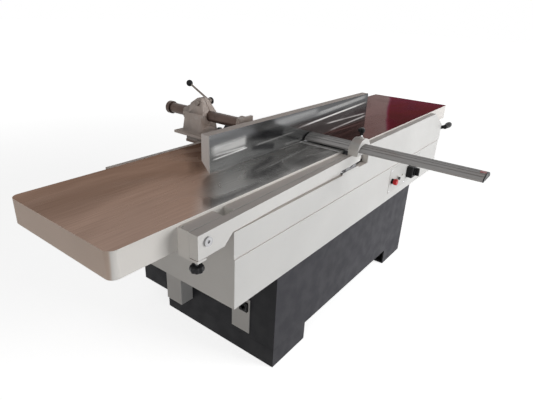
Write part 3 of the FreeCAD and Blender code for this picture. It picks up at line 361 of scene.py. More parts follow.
@dataclass(frozen=True)
class Enamel(Finish):
    """Sprayed machine enamel with a fine orange peel, slight handling marks and dust."""

    variation: float = 0.035
    peel: float = 0.12
    dust: float = 0.08
    # Painted light: the top tint gives faces that look up a warm, slightly darker colour, a painted
    # reflection and shade; the left tint is a painted shade and warm reflection on faces that look left.
    top_reflection_tint: Rgb = (0.98, 0.90, 0.87)
    left_shade_and_reflection_tint: Rgb = (1.0, 0.965, 0.93)

    def build(self) -> bpy.types.Material:
        """Makes the material."""
        graph = Graph(self.name)
        colour = graph.varied(self.colour, self.variation, 2.3)
        marks = graph.span(graph.noise(38.0, 5.0), 0.60, 0.78, 0.0, self.dust)
        colour = graph.blend(marks, colour, shaded(self.colour, 0.72))
        # Painted shade and painted reflection: top faces and left faces are tinted by the way they look.
        for side, tint in ((Side.TOP, self.top_reflection_tint), (Side.LEFT, self.left_shade_and_reflection_tint)):
            colour = graph.blend(graph.facing(side), colour, graph.tinted(colour, tint))
        peel = graph.bump(graph.noise(620.0, 2.0), self.peel, 0.35 * MM)
        waves = graph.bump(graph.noise(9.0, 2.0), 0.10, 1.5 * MM, peel)
        return graph.done(Base_Color=colour, Roughness=self.rough(graph), Normal=waves,
                          Specular_IOR_Level=0.16)


@dataclass(frozen=True)
class GroundIron(Finish):
    """Cast iron: a ground top whose colour is a painted reflection with painted highlight streaks, and enamel
    on its other sides, with a painted shade on the left ends.
    """

    # The top's near and far colours are painted reflections. The left tint is a painted shade and reflection
    # on the left ends. The two edge tints are painted reflection tints for grazing reflections, and they turn
    # across the table.
    far_reflection_colour: Rgb = (0.10, 0.02, 0.03)
    change_way: tuple[float, float] = (1.0, 0.0)
    change_start: float = 0.0
    change_end: float = 1.0
    lines: tuple[Streak, ...] = ()
    side_colour: Rgb = (0.76, 0.735, 0.70)
    left_shade_and_reflection_tint: Rgb = (0.84, 0.68, 0.59)
    near_reflection_tint: Rgb = (0.46, 0.38, 0.34)
    far_reflection_tint: Rgb = (0.60, 0.58, 0.57)

    def build(self) -> bpy.types.Material:
        """Makes the material."""
        graph = Graph(self.name)
        top = graph.facing(Side.TOP)
        # Painted reflection: the top's colour turns from the near colour to the far colour along a line
        # across the table, broken up by random cloudy tone and grinding lines.
        reach = graph.maths("ADD", graph.maths("MULTIPLY", graph.along(Axis.X), self.change_way[0]),
                            graph.maths("MULTIPLY", graph.along(Axis.Y), self.change_way[1]))
        reach = graph.maths("ADD", reach, graph.span(graph.noise(6.0, 4.0), 0.3, 0.7, -0.006, 0.006))
        reach = graph.span(reach, self.change_start, self.change_end, 0.0, 1.0)
        painted_reflection = graph.blend(reach, self.colour, self.far_reflection_colour)
        clouds = graph.span(graph.noise(3.2, 4.0, (0.45, 1.0, 1.0), 0.6), 0.32, 0.68, 0.80, 1.16)
        lines = graph.span(graph.noise(210.0, 3.0, LENGTHWISE), 0.25, 0.75, 0.90, 1.10)
        wash = graph.add("ShaderNodeCombineColor", {0: clouds, 1: clouds, 2: clouds})
        cut = graph.add("ShaderNodeCombineColor", {0: lines, 1: lines, 2: lines})
        painted_reflection = graph.tinted(graph.tinted(painted_reflection, wash), cut)
        metal = graph.span(top, 0.0, 1.0, 0.0, 0.94)
        # Painted highlights: bright streaks that stand in for reflections, where the metal is turned down.
        if self.lines:
            wear_and_highlight = graph.streaks(self.lines, Axis.Y)
            painted_reflection = graph.blend(wear_and_highlight, painted_reflection, (0.62, 0.62, 0.60))
            metal = graph.maths("MULTIPLY", metal, graph.maths("SUBTRACT", 1.0, wear_and_highlight))
        # Painted shade and reflection: the left ends' paint is tinted darker and warmer.
        paint = graph.varied(self.side_colour, 0.03, 3.0)
        left_shaded_paint = graph.tinted(paint, self.left_shade_and_reflection_tint)
        paint = graph.blend(graph.facing(Side.LEFT), paint, left_shaded_paint)
        stains_and_dark_reflections = graph.noise(7.0, 5.0, (0.5, 1.0, 1.0), 0.8)
        ground = graph.span(stains_and_dark_reflections, 0.35, 0.68, self.roughness - 0.07, self.roughness + 0.12)
        scratches = graph.bump(graph.noise(420.0, 2.0, (0.012, 1.0, 1.0)), 0.10, 0.06 * MM)
        peel = graph.bump(graph.noise(520.0, 2.0), 0.05, 0.3 * MM, scratches)
        rough = graph.add("ShaderNodeMix", {0: top, 2: 0.48, 3: ground}, 0, data_type="FLOAT")
        # The reflections' tint turns across the table along with the painted reflection.
        return graph.done(Base_Color=graph.blend(top, paint, painted_reflection), Roughness=rough, Metallic=metal,
                          Normal=peel, Specular_IOR_Level=0.28,
                          Specular_Tint=graph.blend(reach, self.near_reflection_tint, self.far_reflection_tint))


@dataclass(frozen=True)
class GroundFence(Finish):
    """A cast fence: its ground face painted with highlight streaks and dark reflections, and its other sides
    in beige enamel with a painted shade on top.
    """

    side_colour: Rgb = (0.88, 0.84, 0.81)
    # The top colour is a painted shade and warm reflection on the top faces.
    top_shade_colour: Rgb = (0.52, 0.43, 0.38)
    # Bright and dark are the colours of the painted highlights and the painted dark reflections.
    bright: Rgb = (0.93, 0.93, 0.92)
    dark: Rgb = (0.05, 0.05, 0.055)
    # The face turns darker towards the top between these two heights.
    darkening_start: float = 0.975
    darkening_end: float = 1.030
    lines: tuple[Streak, ...] = ()
    stains_and_dark_reflections: tuple[Streak, ...] = ()

    def build(self) -> bpy.types.Material:
        """Makes the material."""
        graph = Graph(self.name)
        face = graph.facing(Side.FRONT)
        # Painted highlights and painted dark reflections on the face.
        wear_and_highlight = graph.streaks(self.lines, Axis.Z)
        dark_reflections = graph.streaks(self.stains_and_dark_reflections, Axis.Z)
        metal = graph.varied(self.colour, 0.30, 7.0, (0.16, 1.0, 1.0))
        fine_lines = graph.noise(160.0, 3.0, (0.015, 1.0, 1.0))
        metal = graph.blend(graph.span(fine_lines, 0.35, 0.65, 0.0, 0.30), metal, shaded(self.colour, 0.5))
        # The face turns darker towards the top.
        rise = graph.span(graph.along(Axis.Z), self.darkening_start, self.darkening_end, 0.0, 0.60)
        metal = graph.blend(rise, metal, self.dark)
        metal = graph.blend(wear_and_highlight, graph.blend(dark_reflections, metal, self.dark), self.bright)
        # Painted shade: the top faces take their own darker colour.
        paint = graph.blend(graph.facing(Side.TOP), graph.varied(self.side_colour, 0.05, 4.0),
                            self.top_shade_colour)
        bump = graph.bump(graph.noise(380.0, 2.0, LENGTHWISE), 0.12, 0.08 * MM)
        ground = graph.span(graph.noise(9.0, 4.0, (0.15, 1.0, 1.0)), 0.3, 0.7,
                            self.roughness - 0.06, self.roughness + 0.10)
        rough = graph.add("ShaderNodeMix", {0: face, 2: 0.5, 3: ground}, 0, data_type="FLOAT")
        mirror = graph.maths("MULTIPLY", face, graph.span(wear_and_highlight, 0.0, 1.0, 0.80, 0.10))
        return graph.done(Base_Color=graph.blend(face, paint, metal), Roughness=rough, Metallic=mirror,
                          Normal=bump, Specular_Tint=(0.5, 0.5, 0.5))


@dataclass(frozen=True)
class Extrusion(Finish):
    """Anodised aluminium, drawn through a die, with dull brown marks along its ridges."""

    mark: Rgb = (0.20, 0.15, 0.12)

    def build(self) -> bpy.types.Material:
        """Makes the material."""
        graph = Graph(self.name)
        drawn = graph.noise(260.0, 3.0, (1.0, 0.02, 1.0))
        worn = graph.noise(14.0, 4.0, (1.0, 0.18, 1.0), 0.5)
        colour = graph.varied(self.colour, 0.07, 6.0, (1.0, 0.2, 1.0))
        colour = graph.blend(graph.span(worn, 0.52, 0.70, 0.0, 0.45), colour, self.mark)
        colour = graph.blend(graph.span(drawn, 0.3, 0.7, 0.0, 0.18), colour, shaded(self.colour, 0.6))
        bump = graph.bump(drawn, 0.15, 0.12 * MM)
        return graph.done(Base_Color=colour, Roughness=self.rough(graph, 30.0), Metallic=0.55, Normal=bump,
                          Specular_Tint=(0.4, 0.4, 0.4), Specular_IOR_Level=0.25)


@dataclass(frozen=True)
class Steel(Finish):
    """Turned, drawn or milled steel, with fine lines that run along one axis."""

    run: Axis = Axis.X
    metallic: float = 0.9
    stain: float = 0.3

    def build(self) -> bpy.types.Material:
        """Makes the material."""
        graph = Graph(self.name)
        stretch = [1.0, 1.0, 1.0]
        stretch[self.run.value] = 0.03
        lines = graph.noise(300.0, 3.0, tuple(stretch))
        colour = graph.varied(self.colour, 0.12, 16.0)
        spots = graph.span(graph.noise(45.0, 5.0), 0.55, 0.75, 0.0, self.stain)
        colour = graph.blend(spots, colour, shaded(self.colour, 0.45))
        bump = graph.bump(lines, 0.18, 0.10 * MM)
        return graph.done(Base_Color=colour, Roughness=self.rough(graph, 40.0), Metallic=self.metallic,
                          Normal=bump)


@dataclass(frozen=True)
class Casting(Finish):
    """A rough sand casting under thin paint, rubbed where it is handled."""

    wear_and_highlight: Rgb = (0.62, 0.58, 0.54)

    def build(self) -> bpy.types.Material:
        """Makes the material."""
        graph = Graph(self.name)
        colour = graph.varied(self.colour, 0.14, 11.0)
        wear_and_highlight = graph.span(graph.noise(26.0, 4.0, distortion=0.4), 0.56, 0.72, 0.0, 0.6)
        colour = graph.blend(wear_and_highlight, colour, self.wear_and_highlight)
        sand = graph.bump(graph.noise(330.0, 4.0), 0.35, 0.5 * MM)
        skin = graph.bump(graph.noise(32.0, 3.0), 0.25, 1.4 * MM, sand)
        return graph.done(Base_Color=colour, Roughness=self.rough(graph, 30.0, 0.10), Normal=skin)


@dataclass(frozen=True)
class Galvanised(Finish):
    """Zinc-dipped sheet with its crystals."""

    def build(self) -> bpy.types.Material:
        """Makes the material."""
        graph = Graph(self.name)
        crystals = graph.add("ShaderNodeTexVoronoi", {"Vector": graph.place, "Scale": 70.0}, 1)
        grey = graph.add("ShaderNodeRGBToBW", {0: crystals})
        colour = graph.blend(graph.span(grey, 0.2, 0.8, 0.0, 1.0), shaded(self.colour, 0.82),
                             shaded(self.colour, 1.15))
        rough = graph.span(grey, 0.2, 0.8, self.roughness - 0.08, self.roughness + 0.08)
        bump = graph.bump(graph.noise(120.0), 0.10, 0.2 * MM)
        return graph.done(Base_Color=colour, Roughness=rough, Metallic=0.7, Normal=bump)


@dataclass(frozen=True)
class Rubber(Finish):
    """Belt rubber with woven backing marks."""

    def build(self) -> bpy.types.Material:
        """Makes the material."""
        graph = Graph(self.name)
        weave = graph.add("ShaderNodeTexWave", {"Vector": graph.place, "Scale": 180.0, "Distortion": 1.5}, 1)
        colour = graph.varied(self.colour, 0.25, 22.0)
        return graph.done(Base_Color=colour, Roughness=self.rough(graph, 30.0),
                          Normal=graph.bump(weave, 0.3, 0.3 * MM))


@dataclass(frozen=True)
class Plastic(Finish):
    """Moulded plastic with a fine spark-eroded grain and fingerprints."""

    grain: float = 0.15

    def build(self) -> bpy.types.Material:
        """Makes the material."""
        graph = Graph(self.name)
        colour = graph.varied(self.colour, 0.12, 30.0)
        prints = graph.span(graph.noise(95.0, 4.0), 0.55, 0.75, 0.0, 0.25)
        colour = graph.blend(prints, colour, shaded(self.colour, 0.7))
        return graph.done(Base_Color=colour, Roughness=self.rough(graph, 60.0, 0.09),
                          Normal=graph.bump(graph.noise(1400.0, 2.0), self.grain, 0.12 * MM),
                          Specular_IOR_Level=0.2)


@dataclass(frozen=True)
class Lens(Finish):
    """The cap of a small lamp: cloudy clear plastic."""

    def build(self) -> bpy.types.Material:
        """Makes the material."""
        graph = Graph(self.name)
        rings = graph.bump(graph.noise(500.0, 2.0), 0.2, 0.15 * MM)
        return graph.done(Base_Color=graph.varied(self.colour, 0.08, 120.0), Normal=rings,
                          Roughness=self.rough(graph, 80.0, 0.05), Transmission_Weight=0.25)


WHITE = Enamel("white_enamel", (0.685, 0.680, 0.665), 0.46)
STRIP_WHITE = Enamel("strip_enamel", (0.72, 0.71, 0.69), 0.42)
GREY = Enamel("grey_enamel", (0.58, 0.575, 0.565), 0.45)
PLATE = Enamel("plate_enamel", (0.63, 0.625, 0.61), 0.40)
# The anthracite's left faces are darkened by a painted shade.
ANTHRACITE = Enamel("anthracite_enamel", (0.034, 0.0335, 0.040), 0.55, 0.10, 0.30, 0.16,
                    left_shade_and_reflection_tint=(0.42, 0.42, 0.40))
# Painted highlights on the outfeed table's top: bright streaks that stand in for reflections of the fence.
OUTFEED_HIGHLIGHTS = (Streak((-0.600, -0.163), (-0.170, -0.122), 0.010, 0.45),
                 Streak((-0.700, -0.215), (-0.330, -0.190), 0.016, 0.14))
# The tables' top colours are painted reflections. The outfeed table turns from brown to grey, the infeed
# table from brown to crimson, and their edge tints do the same for grazing reflections.
OUTFEED_IRON = GroundIron("outfeed_iron", (0.275, 0.198, 0.163), 0.22, (0.355, 0.352, 0.345),
                          (0.667, -0.745), -0.53, -0.42, OUTFEED_HIGHLIGHTS)
INFEED_IRON = GroundIron("infeed_iron", (0.190, 0.150, 0.148), 0.19, (0.140, 0.008, 0.046),
                         (0.385, -0.923), 0.365, 0.400, near_reflection_tint=(0.42, 0.32, 0.31),
                         far_reflection_tint=(0.29, 0.028, 0.125))
# Painted highlights on the fence's face.
FENCE_HIGHLIGHTS = (Streak((-0.764, 0.969), (-0.556, 0.963), 0.007, 0.75),
               Streak((-0.775, 0.984), (-0.550, 0.990), 0.030, 0.62),
               Streak((-0.768, 0.952), (-0.545, 0.959), 0.005, 0.95),
               Streak((-0.526, 0.956), (-0.200, 0.961), 0.006, 0.30),
               Streak((-0.230, 0.971), (0.540, 1.002), 0.0065, 1.0),
               Streak((-0.075, 1.009), (0.528, 1.036), 0.014, 0.30),
               Streak((0.040, 0.950), (0.540, 0.936), 0.006, 0.70),
               Streak((0.080, 0.905), (0.545, 0.921), 0.007, 0.70),
               Streak((-0.500, 1.020), (0.000, 1.030), 0.020, 0.18),
               Streak((-0.300, 0.915), (-0.130, 0.913), 0.009, 0.30))
# Painted dark reflections on the fence's face.
FENCE_DARK_REFLECTIONS = (Streak((-0.560, 1.005), (-0.290, 0.972), 0.030, 0.85),
                Streak((-0.540, 0.955), (-0.360, 0.925), 0.022, 0.8),
                Streak((-0.280, 0.990), (0.300, 1.004), 0.012, 0.6))
FENCE = GroundFence("fence_casting", (0.24, 0.245, 0.245), 0.16, lines=FENCE_HIGHLIGHTS, stains_and_dark_reflections=FENCE_DARK_REFLECTIONS)
LIP_STEEL = Steel("lip_steel", (0.82, 0.81, 0.79), 0.34, Axis.Y, 0.30, 0.15)
BLACK_BAR = Steel("blacked_bar", (0.105, 0.068, 0.054), 0.36, Axis.Y, 0.6, 0.5)
DULL_STEEL = Steel("dull_steel", (0.20, 0.17, 0.15), 0.34, Axis.Z, 0.8, 0.3)
CASTING = Casting("painted_casting", (0.66, 0.56, 0.50), 0.55, (0.80, 0.73, 0.68))
MILLED = Steel("milled_steel", (0.45, 0.45, 0.46), 0.36, Axis.Y)
TOOL_STEEL = Steel("tool_steel", (0.66, 0.66, 0.68), 0.22, Axis.Y, 0.95, 0.1)
ZINC = Steel("bright_zinc", (0.66, 0.66, 0.68), 0.26, Axis.Z, 0.95, 0.15)
RAW_CASTING = Casting("raw_casting", (0.23, 0.23, 0.24), 0.5, (0.40, 0.40, 0.41))
MOTOR_PAINT = Casting("motor_paint", (0.25, 0.28, 0.31), 0.5, (0.36, 0.39, 0.41))
BELT_RUBBER = Rubber("belt_rubber", (0.028, 0.028, 0.029), 0.7)
SHEET_ZINC = Galvanised("galvanised_sheet", (0.50, 0.52, 0.53), 0.42)
ANODISED = Extrusion("anodised_extrusion", (0.310, 0.300, 0.295), 0.36)
BLACK = Plastic("black_moulding", (0.008, 0.008, 0.009), 0.42)
RED = Plastic("red_moulding", (0.55, 0.022, 0.026), 0.32, 0.05)
PALE = Plastic("pale_moulding", (0.72, 0.71, 0.68), 0.40, 0.05)
LENS = Lens("lamp_lens", (0.80, 0.79, 0.72), 0.2)


# ---- meshes


class Shop:
    """Keeps the finishes already mixed, and dresses parts and pieces with them."""

    def __init__(self) -> None:
        """Starts with nothing mixed."""
        self.mixed: dict[str, bpy.types.Material] = {}

    def material(self, finish: Finish) -> bpy.types.Material:
        """Gives a finish's material, made on first use.

        Args:
            finish: the finish.

        Returns:
            Its material.
        """
        if finish.name not in self.mixed:
            self.mixed[finish.name] = finish.build()
        return self.mixed[finish.name]

    def dress(self, node: str, finish: Finish, edge: float = 0.0) -> bpy.types.Object:
        """Puts a finish on a CAD node and breaks its sharp edges.

        Args:
            node: the CAD node's name.
            finish: what it is finished in.
            edge: the width of the broken edges, or 0 to leave them.

        Returns:
            The node's object.
        """
        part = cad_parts[node]
        for place in part.material_slots:
            place.material = self.material(finish)
        if edge:
            soften(part, edge)
        LOG.info("dressed %s in %s", node, finish.name)
        return part

    def dress_all(self, finishes: dict[str, Finish], edge: float = 0.0) -> None:
        """Puts finishes on several CAD nodes whose edges are treated alike.

        Args:
            finishes: what each node is finished in.
            edge: the width of their broken edges, or 0 to leave them.
        """
        for node, finish in finishes.items():
            self.dress(node, finish, edge)

    def piece(self, name: str, mesh: Mesh, finish: Finish, body: str, slot: str,
              edge: float = 0.0) -> bpy.types.Object:
        """Makes an added piece from its mesh.

        Args:
            name: the piece's name.
            mesh: its mesh, in the frame's own coordinates; it is used up.
            finish: what it is finished in.
            body: the CAD body it rides on.
            slot: not used. the record's slot that it belongs to.
            edge: the width of its broken edges, or 0 to leave them.

        Returns:
            The piece.
        """
        data = bpy.data.meshes.new(name)
        bmesh.ops.recalc_face_normals(mesh, faces=mesh.faces)
        mesh.to_mesh(data)
        mesh.free()
        made = bpy.data.objects.new(name, data)
        bpy.context.scene.collection.objects.link(made)
        data.materials.append(self.material(finish))
        data.shade_smooth()
        data.set_sharp_from_angle(angle=SMOOTH_ANGLE)
        if edge:
            soften(made, edge)
        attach(made, body)
        LOG.info("added %s on %s", name, body)
        return made


def soften(part: bpy.types.Object, width: float) -> None:
    """Breaks an object's sharp edges with a narrow bevel, by modifiers only.

    Args:
        part: the object.
        width: how wide the broken edge is.
    """
    weld = part.modifiers.new("join_seams", "WELD")
    weld.merge_threshold = SEAM
    bevel = part.modifiers.new("broken_edges", "BEVEL")
    bevel.width = width
    bevel.segments = 2
    bevel.limit_method = "ANGLE"
    bevel.angle_limit = BROKEN_ANGLE
    bevel.harden_normals = True


def turned(profile: list[tuple[float, float]], centre: Vector, axis: Axis, steps: int = 40,
           lobes: int = 0, depth: float = 0.0) -> Mesh:
    """Turns a closed profile round an axis, with lobes if wanted.

    Args:
        profile: radius and distance along the axis, from one end to the other; a radius of 0 closes it.
        centre: where the distances start.
        axis: the axis it is turned round.
        steps: how many sides it gets.
        lobes: how many lobes stand round it.
        depth: how far the surface goes in between lobes, as a part of the radius.

    Returns:
        The mesh.
    """
    mesh = bmesh.new()
    order = {Axis.X: (1, 2, 0), Axis.Y: (2, 0, 1), Axis.Z: (0, 1, 2)}[axis]
    rings = []
    for radius, distance in profile:
        ring = []
        for step in range(1 if radius == 0 else steps):
            angle = 2 * math.pi * step / steps
            reach = radius * (1 - depth * (0.5 - 0.5 * math.cos(lobes * angle)))
            point = [0.0, 0.0, 0.0]
            point[order[0]] = reach * math.cos(angle)
            point[order[1]] = reach * math.sin(angle)
            point[order[2]] = distance
            ring.append(mesh.verts.new(Vector(point) + centre))
        rings.append(ring)
    for low, high in zip(rings, rings[1:]):
        for step in range(steps):
            after = (step + 1) % steps
            corners = [low[step % len(low)], low[after % len(low)], high[after % len(high)],
                       high[step % len(high)]]
            mesh.faces.new(list(dict.fromkeys(corners)))
    return mesh


def block(low: Vector, high: Vector) -> Mesh:
    """Makes a plate between two corners.

    Args:
        low: its lowest corner.
        high: its highest corner.

    Returns:
        The mesh.
    """
    mesh = bmesh.new()
    middle, size = (low + high) / 2, high - low
    bmesh.ops.create_cube(mesh, size=1.0, matrix=Matrix.Translation(middle) @ Matrix.Diagonal((*size, 1.0)))
    return mesh


def joined(*meshes: Mesh) -> Mesh:
    """Puts several meshes into one; the given ones are used up."""
    whole = bmesh.new()
    for mesh in meshes:
        held = bpy.data.meshes.new("held")
        mesh.to_mesh(held)
        mesh.free()
        whole.from_mesh(held)
        bpy.data.meshes.remove(held)
    return whole


def trimmed(node: str, cuts: list[tuple[Vector, Vector]]) -> Mesh:
    """Copies a CAD node's mesh and planes flat faces on it.

    Args:
        node: the CAD node's name.
        cuts: for each plane, a point on it and the way that is planed off.

    Returns:
        The mesh, closed again after each cut.
    """
    mesh = bmesh.new()
    mesh.from_mesh(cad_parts[node].data)
    bmesh.ops.remove_doubles(mesh, verts=mesh.verts, dist=SEAM)
    for point, way in cuts:
        everything = [*mesh.verts, *mesh.edges, *mesh.faces]
        cut = bmesh.ops.bisect_plane(mesh, geom=everything, plane_co=point, plane_no=way, clear_outer=True)
        rim = [item for item in cut["geom_cut"] if isinstance(item, bmesh.types.BMEdge)]
        bmesh.ops.triangle_fill(mesh, edges=rim, use_beauty=True, normal=way)
    return mesh


def centre_of(node: str) -> Vector:
    """Gives the middle of a CAD node's box."""
    low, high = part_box(node)
    return (low + high) / 2


# ---- sub-assemblies


@dataclass
class Assembly(ABC):
    """A sub-assembly, and the shop that its finishes come from."""

    shop: Shop

    @abstractmethod
    def build(self) -> None:
        """Dresses its CAD parts and adds its pieces."""


@dataclass
class Base(Assembly):
    """The cabinet, its feet and the electrics on its left face."""

    edge: float = 1.2 * MM
    inlet_size: float = 46 * MM
    inlet_proud: float = 12 * MM
    rim_share: float = 0.36
    pin_radius: float = 2.2 * MM
    pin_proud: float = 3 * MM
    sunk: float = 0.5 * MM
    pin_angles: tuple[float, ...] = (math.pi / 2, math.pi * 7 / 6, math.pi * 11 / 6)

    def build(self) -> None:
        """Dresses the cabinet and its fittings."""
        self.shop.dress_all({"base_cabinet": ANTHRACITE, "base_feet": ANTHRACITE}, self.edge)
        self.shop.dress("socket_plate", GREY, self.edge / 2)
        self.inlet()
        self.shop.dress_all({"electrical_box": GREY, "electrical_box_lid": GREY}, self.edge)
        self.shop.dress("cable_gland", BLACK)

    def inlet(self) -> None:
        """Makes the supply socket: a low moulded block with a raised round rim and three pins."""
        middle = centre_of("power_outlet")
        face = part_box("socket_plate")[0].x
        half = self.inlet_size / 2
        shell = block(Vector((face - self.inlet_proud, middle.y - half, middle.z - half)),
                      Vector((face, middle.y + half, middle.z + half)))
        bore = self.inlet_size * self.rim_share
        deep = Vector((face - self.inlet_proud, middle.y, middle.z))
        rim = turned([(0, 0.0), (bore * 0.8, 0.0), (bore, -1.0 * MM), (bore + 3 * MM, -2.0 * MM),
                      (bore + 4 * MM, self.sunk), (0, self.sunk)], deep, Axis.X, 36)
        pin = [(0, -self.pin_proud), (self.pin_radius, -self.pin_proud), (self.pin_radius, self.sunk),
               (0, self.sunk)]
        pins = [turned(pin, deep + Vector((0, bore * 0.5 * math.cos(angle), bore * 0.5 * math.sin(angle))),
                       Axis.X, 12) for angle in self.pin_angles]
        made = self.shop.piece("supply_inlet", joined(shell, rim, *pins), BLACK, "machine_frame",
                               "black_plastic", self.edge)
        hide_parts("power_outlet")


@dataclass
class Body(Assembly):
    """The sheet body, its covers and the rear rail."""

    edge: float = 1.5 * MM
    cover_rise: float = 107 * MM
    skirt_ends: tuple[float, float] = (20 * MM, 22 * MM)
    skirt_y: float = -288 * MM
    skirt_thick: float = 3 * MM
    skirt_lap: float = 1 * MM
    ledge_x: tuple[float, float] = (-905 * MM, 76 * MM)
    ledge_y: tuple[float, float] = (-300 * MM, -270 * MM)
    ledge_depths: tuple[float, float] = (3 * MM, 0.4 * MM)
    screen_side: float = 8 * MM
    screen_front: float = 0.2 * MM
    screen_clear: float = 0.6 * MM
    screen_rise: float = 9 * MM
    screen_edge: float = 0.3 * MM

    def build(self) -> None:
        """Dresses the body and adds its sheets."""
        self.shop.dress("lower_body", WHITE, self.edge)
        self.shop.dress("body_covers", WHITE)
        self.shop.dress("rear_rail", CASTING, self.edge)
        self.shop.dress("rail_bracket", BLACK_BAR, self.edge / 2)
        self.sheets()

    def sheets(self) -> None:
        """Adds the skirt behind the strip, the ledge on the covers and the screen before the housings."""
        strip_low, strip_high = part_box("side_strip")
        housing_low, housing_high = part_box("bearing_housings")
        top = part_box("body_covers")[0].z + self.cover_rise
        skirt = block(Vector((strip_low.x + self.skirt_ends[0], self.skirt_y, top + self.skirt_lap)),
                      Vector((strip_high.x - self.skirt_ends[1], self.skirt_y + self.skirt_thick,
                              strip_low.z + self.skirt_lap)))
        ledge = block(Vector((self.ledge_x[0], self.ledge_y[0], top - self.ledge_depths[0])),
                      Vector((self.ledge_x[1], self.ledge_y[1], top - self.ledge_depths[1])))
        screen = block(Vector((housing_low.x - self.screen_side, self.ledge_y[0] - self.screen_front,
                               top - self.screen_clear)),
                       Vector((housing_high.x + self.screen_side, housing_low.y - self.screen_clear,
                               top + self.screen_rise)))
        for name, sheet, finish, edge in (("inner_skirt", skirt, STRIP_WHITE, self.edge / 3),
                                          ("cover_ledge", ledge, WHITE, self.edge / 3),
                                          ("housing_screen", screen, WHITE, self.screen_edge)):
            self.shop.piece(name, sheet, finish, "machine_frame", "white_paint", edge)


@dataclass
class Tables(Assembly):
    """Both tables with their lips, and what lifts the infeed table."""

    edge: float = 1.6 * MM

    def build(self) -> None:
        """Dresses the tables and their links."""
        self.shop.dress_all({"outfeed_table": OUTFEED_IRON, "infeed_table": INFEED_IRON}, self.edge)
        self.shop.dress_all({"outfeed_lip": LIP_STEEL, "infeed_lip": LIP_STEEL})
        self.shop.dress_all(dict.fromkeys(("outfeed_posts", "cutter_supports", "lift_blocks",
                                           "inner_lift_link", "outer_lift_link"), MILLED))


@dataclass
class CutterBlock(Assembly):
    """The cutter block with its knives, bearings and pulley."""

    def build(self) -> None:
        """Dresses the block."""
        self.shop.dress_all({"cutter_block": MILLED, "cutter_knives": TOOL_STEEL, "cutter_gibs": MILLED,
                             "cutter_bearings": ZINC, "bearing_housings": RAW_CASTING, "housing_bolts": ZINC,
                             "cutter_pulley": RAW_CASTING})


@dataclass
class Drive(Assembly):
    """The motor, its belts and their cover, and the dust chute."""

    edge: float = 1.2 * MM

    def build(self) -> None:
        """Dresses the drive."""
        self.shop.dress_all({"drive_belts": BELT_RUBBER, "motor_pulley": RAW_CASTING, "motor_shaft": MILLED,
                             "motor_housing": MOTOR_PAINT})
        self.shop.dress("belt_cover", ANTHRACITE, self.edge)
        self.shop.dress_all({"dust_chute": SHEET_ZINC, "dust_spout": SHEET_ZINC})


@dataclass
class Fence(Assembly):
    """The fence, its bar and the carriage that holds them."""

    edge: float = 1.5 * MM
    gable_front: tuple[float, float] = (345 * MM, 1074 * MM)
    gable_front_way: tuple[float, float] = (-0.841, 0.543)
    gable_back: tuple[float, float] = (372 * MM, 1080 * MM)
    gable_back_way: tuple[float, float] = (0.592, 0.806)
    hub_y: float = 357 * MM
    hub_z: float = 1059 * MM
    hub_radius: float = 14 * MM
    band_radius: float = hub_radius + 3 * MM

    def build(self) -> None:
        """Dresses the fence and its carriage."""
        self.shop.dress("fence", FENCE, self.edge)
        self.shop.dress_all({"fence_bar": BLACK_BAR, "fence_bracket": CASTING, "fence_hinge_pin": ZINC})
        self.carriage()
        self.shop.dress_all({"clamp_lever": DULL_STEEL, "clamp_lever_ball": BLACK, "carriage_knob": BLACK})

    def carriage(self) -> None:
        """Makes the carriage casting with its lug planed to a gable, and the band round the clamp's hub."""
        casting = trimmed("fence_carriage", [
            (Vector((0.0, *self.gable_front)), Vector((0.0, *self.gable_front_way))),
            (Vector((0.0, *self.gable_back)), Vector((0.0, *self.gable_back_way)))])
        made = self.shop.piece("carriage_casting", casting, CASTING, "machine_frame", "cast_paint")
        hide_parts("fence_carriage")
        hub = Vector((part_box("clamp_lever")[1].x, self.hub_y, self.hub_z))
        band = turned([(0, -10 * MM), (self.hub_radius, -10 * MM), (self.band_radius, -8 * MM),
                       (self.band_radius, -1 * MM), (self.hub_radius, 1.5 * MM), (6 * MM, 2.5 * MM),
                       (0, 2.5 * MM)], hub, Axis.X)
        self.shop.piece("clamp_hub_cap", band, BLACK, "fence_clamp", "black_plastic")


@dataclass
class GuardArm(Assembly):
    """The arm along the table's front, its bracket and the knob that raises it."""

    edge: float = 1.5 * MM
    knob_radius: float = 23 * MM
    knob_height: float = 24 * MM
    stem_radius: float = 6 * MM

    def build(self) -> None:
        """Dresses the arm."""
        self.shop.dress_all(dict.fromkeys(("arm_bracket", "side_strip", "guard_arm"), STRIP_WHITE), self.edge)
        self.shop.dress("arm_pivot_bolt", MILLED)
        self.knob()
        self.shop.dress("guard_holder", STRIP_WHITE, self.edge / 2)

    def knob(self) -> None:
        """Makes the lobed knob under the arm's end, on its bright stem."""
        low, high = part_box("arm_height_knob")
        foot = Vector(((low.x + high.x) / 2, (low.y + high.y) / 2, low.z))
        reach, tall = self.knob_radius, self.knob_height
        grip = turned([(0, 0), (reach * 0.72, 0), (reach * 0.93, tall * 0.12), (reach, tall * 0.35),
                       (reach, tall * 0.62), (reach * 0.9, tall * 0.85), (reach * 0.62, tall), (0, tall)],
                      foot, Axis.Z, steps=96, lobes=8, depth=0.10)
        made = self.shop.piece("arm_knob_grip", grip, BLACK, "arm_height_knob", "black_plastic")
        root, tip = tall - 2 * MM, high.z - low.z - 1 * MM
        stem = turned([(0, root), (self.stem_radius, root), (self.stem_radius, tip), (0, tip)],
                      foot, Axis.Z, 28)
        self.shop.piece("arm_knob_stem", stem, ZINC, "arm_height_knob", "bright_steel")
        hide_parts("arm_height_knob")


